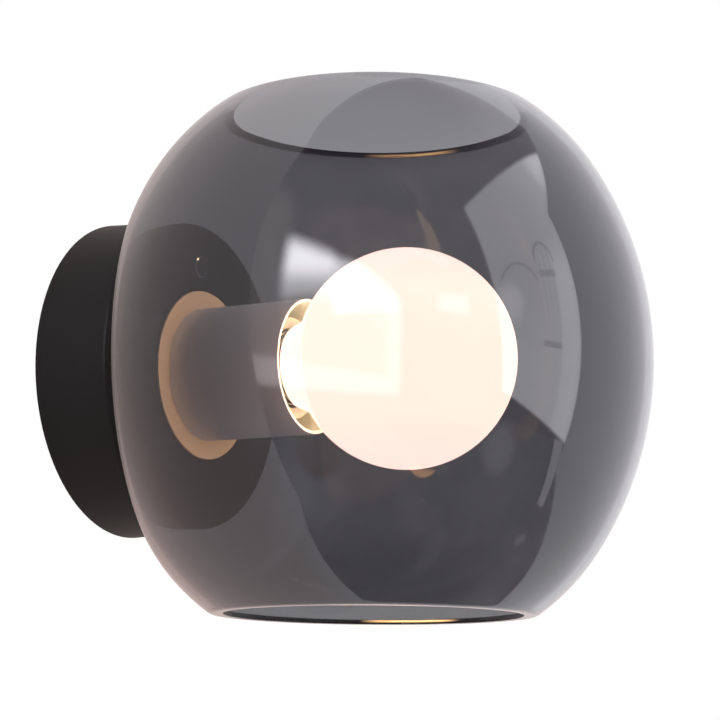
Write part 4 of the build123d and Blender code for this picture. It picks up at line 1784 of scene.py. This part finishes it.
@dataclass
class WallCard:
    """The pale wall behind the lamp, with painted shade and painted warm bulb light near it and a painted
    soft shadow of its lower half.

    It shows in reflections, and through the glass. Sizes are in metres.

    Attributes:
        place: How far behind the wall's plane it stands.
        outline: Its corners as (x, z), in turn.
        shaded_tones: Its colours by the distance from the arm's axis, darker and warmer near it as painted
            shade and painted bulb light.
        warmth: What the light of the bulb makes of white below the lamp.
        warm_height: Heights between which that begins.
        warm_radius: Distances from the arm's axis between which it begins.
        shadow: What the shadow makes of white.
        shadow_middle: The shadow's middle as (x, z).
        shadow_narrowing: How much longer than high the shadow is, as a factor on its length.
        shadow_radius: Distances from its middle between which it begins.
    """

    place: float = 0.0008
    outline: tuple[tuple[float, float], ...] = (
        (-0.569, -0.578),
        (-0.381, 0.026),
        (-0.341, 0.172),
        (-0.319, 0.605),
        (-0.100, 0.820),
        (0.462, 1.013),
        (1.800, 1.500),
        (1.800, -1.900),
        (0.130, -1.020),
    )
    shaded_tones: tuple[tuple[float, Colour], ...] = (
        (0.060, (0.72, 0.61, 0.58)),
        (0.095, (0.82, 0.72, 0.70)),
        (0.150, (0.84, 0.76, 0.77)),
        (0.450, (0.98, 0.92, 0.94)),
        (1.000, (1.08, 1.07, 1.10)),
    )
    warmth: Colour = (0.98, 0.87, 0.83)
    warm_height: Span = (0.02, -0.12)
    warm_radius: Span = (0.8, 0.1)
    shadow: Colour = (0.74, 0.735, 0.73)
    shadow_middle: tuple[float, float] = (0.18, -0.13)
    shadow_narrowing: float = 0.5
    shadow_radius: Span = (0.16, 0.05)

    def build(self) -> None:
        """Makes the wall's card."""
        mesh = bmesh.new()
        corners = [mesh.verts.new((x, self.place, z)) for x, z in self.outline]
        bmesh.ops.contextual_create(mesh, geom=corners)
        card = piece_from(mesh, "wall_card")
        material = painted("wall_card_paint", self._shader)
        material.cycles.emission_sampling = "NONE"
        card.data.materials.append(material)
        hide_from_direct_view(card)

    def _shader(self, paint: Paint) -> Signal:
        """The card's shader.

        Args:
            paint: The node tree to add it to.

        Returns:
            The shader's output.
        """
        radius, height = paint.arm_radius(), paint.along("Z")
        # Painted shade near the arm, painted warm bulb light below the lamp, and a painted shadow seen
        # through the glass.
        tone = paint.node("ValToRGB", {"stops": self.shaded_tones}, {0: radius})
        below = height.rise(*self.warm_height) * radius.rise(*self.warm_radius)
        warm = paint.mix(below, WHITE, self.warmth)
        product = {"data_type": "RGBA", "blend_type": "MULTIPLY"}
        tone = paint.node("Mix", product, {0: 1.0, 6: tone, 7: warm}, 2)
        middle_x, middle_z = self.shadow_middle
        across = (paint.along("X") - middle_x) * self.shadow_narrowing
        shadow = across.hypotenuse(height - middle_z).rise(*self.shadow_radius)
        return in_reflections(paint, tone, paint.mix(shadow, WHITE, self.shadow))


@dataclass
class Studio:
    """Pale floor, white surround and soft lamps, with the room and the wall that reflections show.

    Sizes and places are in metres.

    Attributes:
        floor_height: Height of the floor.
        floor_radius: Its radius.
        floor_steps: Straight pieces in its edge.
        floor_colour: Its colour.
        floor_fade: Distances from the lamp between which it fades into the surround.
        surround: Strength of the light from all round.
        surround_colour: Its colour.
        key_place: Where the large soft lamp stands.
        key_target: Where it points.
        key_size: Its width.
        key_energy: Its power, W.
        bulb_centre: The middle of the bulb's ball.
        glow_colour: Colour of the light that the bulb throws round it.
        glow_radiance: Its brightness.
        glow_radius: Radius of the ball that gives it off.
    """

    floor_height: float = -1.2
    floor_radius: float = 30.0
    floor_steps: int = 96
    floor_colour: Colour = (0.86, 0.86, 0.86)
    floor_fade: Span = (1.0, 6.0)
    surround: float = 0.75
    surround_colour: Colour = (0.98, 0.99, 1.0)
    key_place: tuple[float, float, float] = (-1.1, -1.3, 1.7)
    key_target: tuple[float, float, float] = (0.0, -0.1, 0.0)
    key_size: float = 1.6
    key_energy: float = 22.0
    bulb_centre: tuple[float, float, float] = (0.0, -0.1205, 0.0)
    glow_colour: Colour = (1.0, 0.66, 0.44)
    glow_radiance: float = 14.0
    glow_radius: float = 0.0405

    def build(self) -> None:
        """Makes the whole stage."""
        self._world()
        self._floor()
        WallCard().build()
        Room().build()
        self._key_lamp()

    def _world(self) -> None:
        """White to the camera and through or in glass, and a plain soft light elsewhere."""
        world = bpy.data.worlds.new("studio_surround")
        bpy.context.scene.world = world
        world.cycles.sampling_method = "NONE"
        world.use_nodes = True
        paint = Paint(world.node_tree)
        soft = {"Color": opaque(self.surround_colour), "Strength": self.surround}
        light = paint.node("Background", None, soft)
        white = paint.node("Background", None, {"Color": opaque(WHITE), "Strength": 1.0})
        paint.finish(paint.node("MixShader", None, {0: self._seen(paint), 1: light, 2: white}), "OutputWorld")

    @staticmethod
    def _seen(paint: Paint) -> Signal:
        """1 for rays from the camera, reflections and rays through glass.

        Args:
            paint: The node tree to add it to.

        Returns:
            The mask.
        """
        names = ("Is Camera Ray", "Is Glossy Ray", "Is Transmission Ray")
        camera, glossy, through = (paint.node("LightPath", output=name) for name in names)
        return camera.either(glossy).either(through)

    def _floor_shader(self, paint: Paint) -> Signal:
        """The floor's paint, fading into the white surround.

        Args:
            paint: The node tree to add it to.

        Returns:
            The shader's output.
        """
        distance = paint.along("X").hypotenuse(paint.along("Y"))
        pale = paint.node("BsdfDiffuse", None, {"Color": opaque(self.floor_colour)})
        fade = distance.rise(*self.floor_fade) * self._seen(paint)
        return paint.node("MixShader", None, {0: fade, 1: pale, 2: paint.emission(WHITE)})

    def _floor(self) -> None:
        """A pale floor well below the lamp."""
        mesh = bmesh.new()
        bmesh.ops.create_circle(mesh, cap_ends=True, segments=self.floor_steps, radius=self.floor_radius)
        bmesh.ops.translate(mesh, verts=mesh.verts[:], vec=(0.0, 0.0, self.floor_height))
        floor = piece_from(mesh, "floor")
        floor.data.materials.append(painted("floor_paint", self._floor_shader))
        floor.visible_glossy = False

    def _key_lamp(self) -> None:
        """A large soft lamp above the sconce's front."""
        light = bpy.data.lights.new("key_softbox", "AREA")
        light.shape, light.size, light.energy = "DISK", self.key_size, self.key_energy
        lamp = bpy.data.objects.new("key_softbox", light)
        lamp.location = self.key_place
        aim = Vector(self.key_target) - lamp.location
        lamp.rotation_euler = aim.to_track_quat("-Z", "Y").to_euler()
        lamp.visible_camera = lamp.visible_glossy = lamp.visible_transmission = False
        bpy.context.scene.collection.objects.link(lamp)

    def _glow(self) -> bpy.types.Object:
        """Makes the ball of light at the middle of the lit bulb.

        Returns:
            The lamp.
        """
        light = bpy.data.lights.new("bulb_glow", "POINT")
        light.color = self.glow_colour
        light.shadow_soft_size = self.glow_radius
        light.use_soft_falloff = False
        light.energy = self.glow_radiance * 4.0 * math.pi**2 * self.glow_radius**2
        lamp = bpy.data.objects.new("bulb_glow", light)
        lamp.location = self.bulb_centre
        lamp.visible_camera = lamp.visible_transmission = False
        bpy.context.scene.collection.objects.link(lamp)
        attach(lamp, "bulb")
        return lamp

    def light_round_bulb(self, globe: bpy.types.Object, bulb: bpy.types.Object) -> None:
        """Adds the light that the bulb throws round it.

        Args:
            globe: The glass globe, which the light spares.
            bulb: The bulb's glass, which glows itself.
        """
        spared = bpy.data.collections.new("spared_from_glow")
        for piece in (globe, bulb):
            spared.objects.link(piece)
        self._glow().light_linking.receiver_collection = spared
        for entry in spared.collection_objects:
            entry.light_linking.link_state = "EXCLUDE"
        bulb.visible_glossy = False


@dataclass
class Viewpoint:
    """The camera, placed as in the photograph.

    Attributes:
        place: Where it stands, m.
        target: Where it looks, m.
        roll: How far it is turned about its own axis, radians.
        lens: Its focal length, mm.
        sensor: Its sensor's width, mm.
        clip: The nearest and farthest distances that it sees, m.
    """

    place: tuple[float, float, float] = (-0.776658, -0.527947, -0.147385)
    target: tuple[float, float, float] = (-0.0026394, -0.1028268, 0.0003808)
    roll: float = 0.00795788
    lens: float = 123.2984
    sensor: float = 36.0
    clip: Span = (0.01, 200.0)

    def build(self) -> bpy.types.Object:
        """Makes the camera and sets it as the scene's.

        Returns:
            The camera object.
        """
        data = bpy.data.cameras.new("camera")
        data.lens, data.sensor_width = self.lens, self.sensor
        data.clip_start, data.clip_end = self.clip
        camera = bpy.data.objects.new("camera", data)
        aim = Vector(self.target) - Vector(self.place)
        turned = aim.to_track_quat("-Z", "Y").to_matrix().to_4x4() @ Matrix.Rotation(self.roll, 4, "Z")
        camera.matrix_world = Matrix.Translation(self.place) @ turned
        bpy.context.scene.collection.objects.link(camera)
        bpy.context.scene.camera = camera
        return camera


def main() -> None:
    """Builds the stage, dresses the frame and builds the detailed pieces."""
    logging.basicConfig(level=logging.INFO, format="%(message)s")
    scene = bpy.context.scene
    scene.view_settings.view_transform = "Standard"
    Viewpoint().build()
    studio = Studio()
    studio.build()
    materials = finish_materials()
    dress_nodes(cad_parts, materials)
    globe = Globe().build(materials["smoked_glass"])
    studio.light_round_bulb(globe, Bulb().build(materials))


if __name__ == "__main__":
    main()
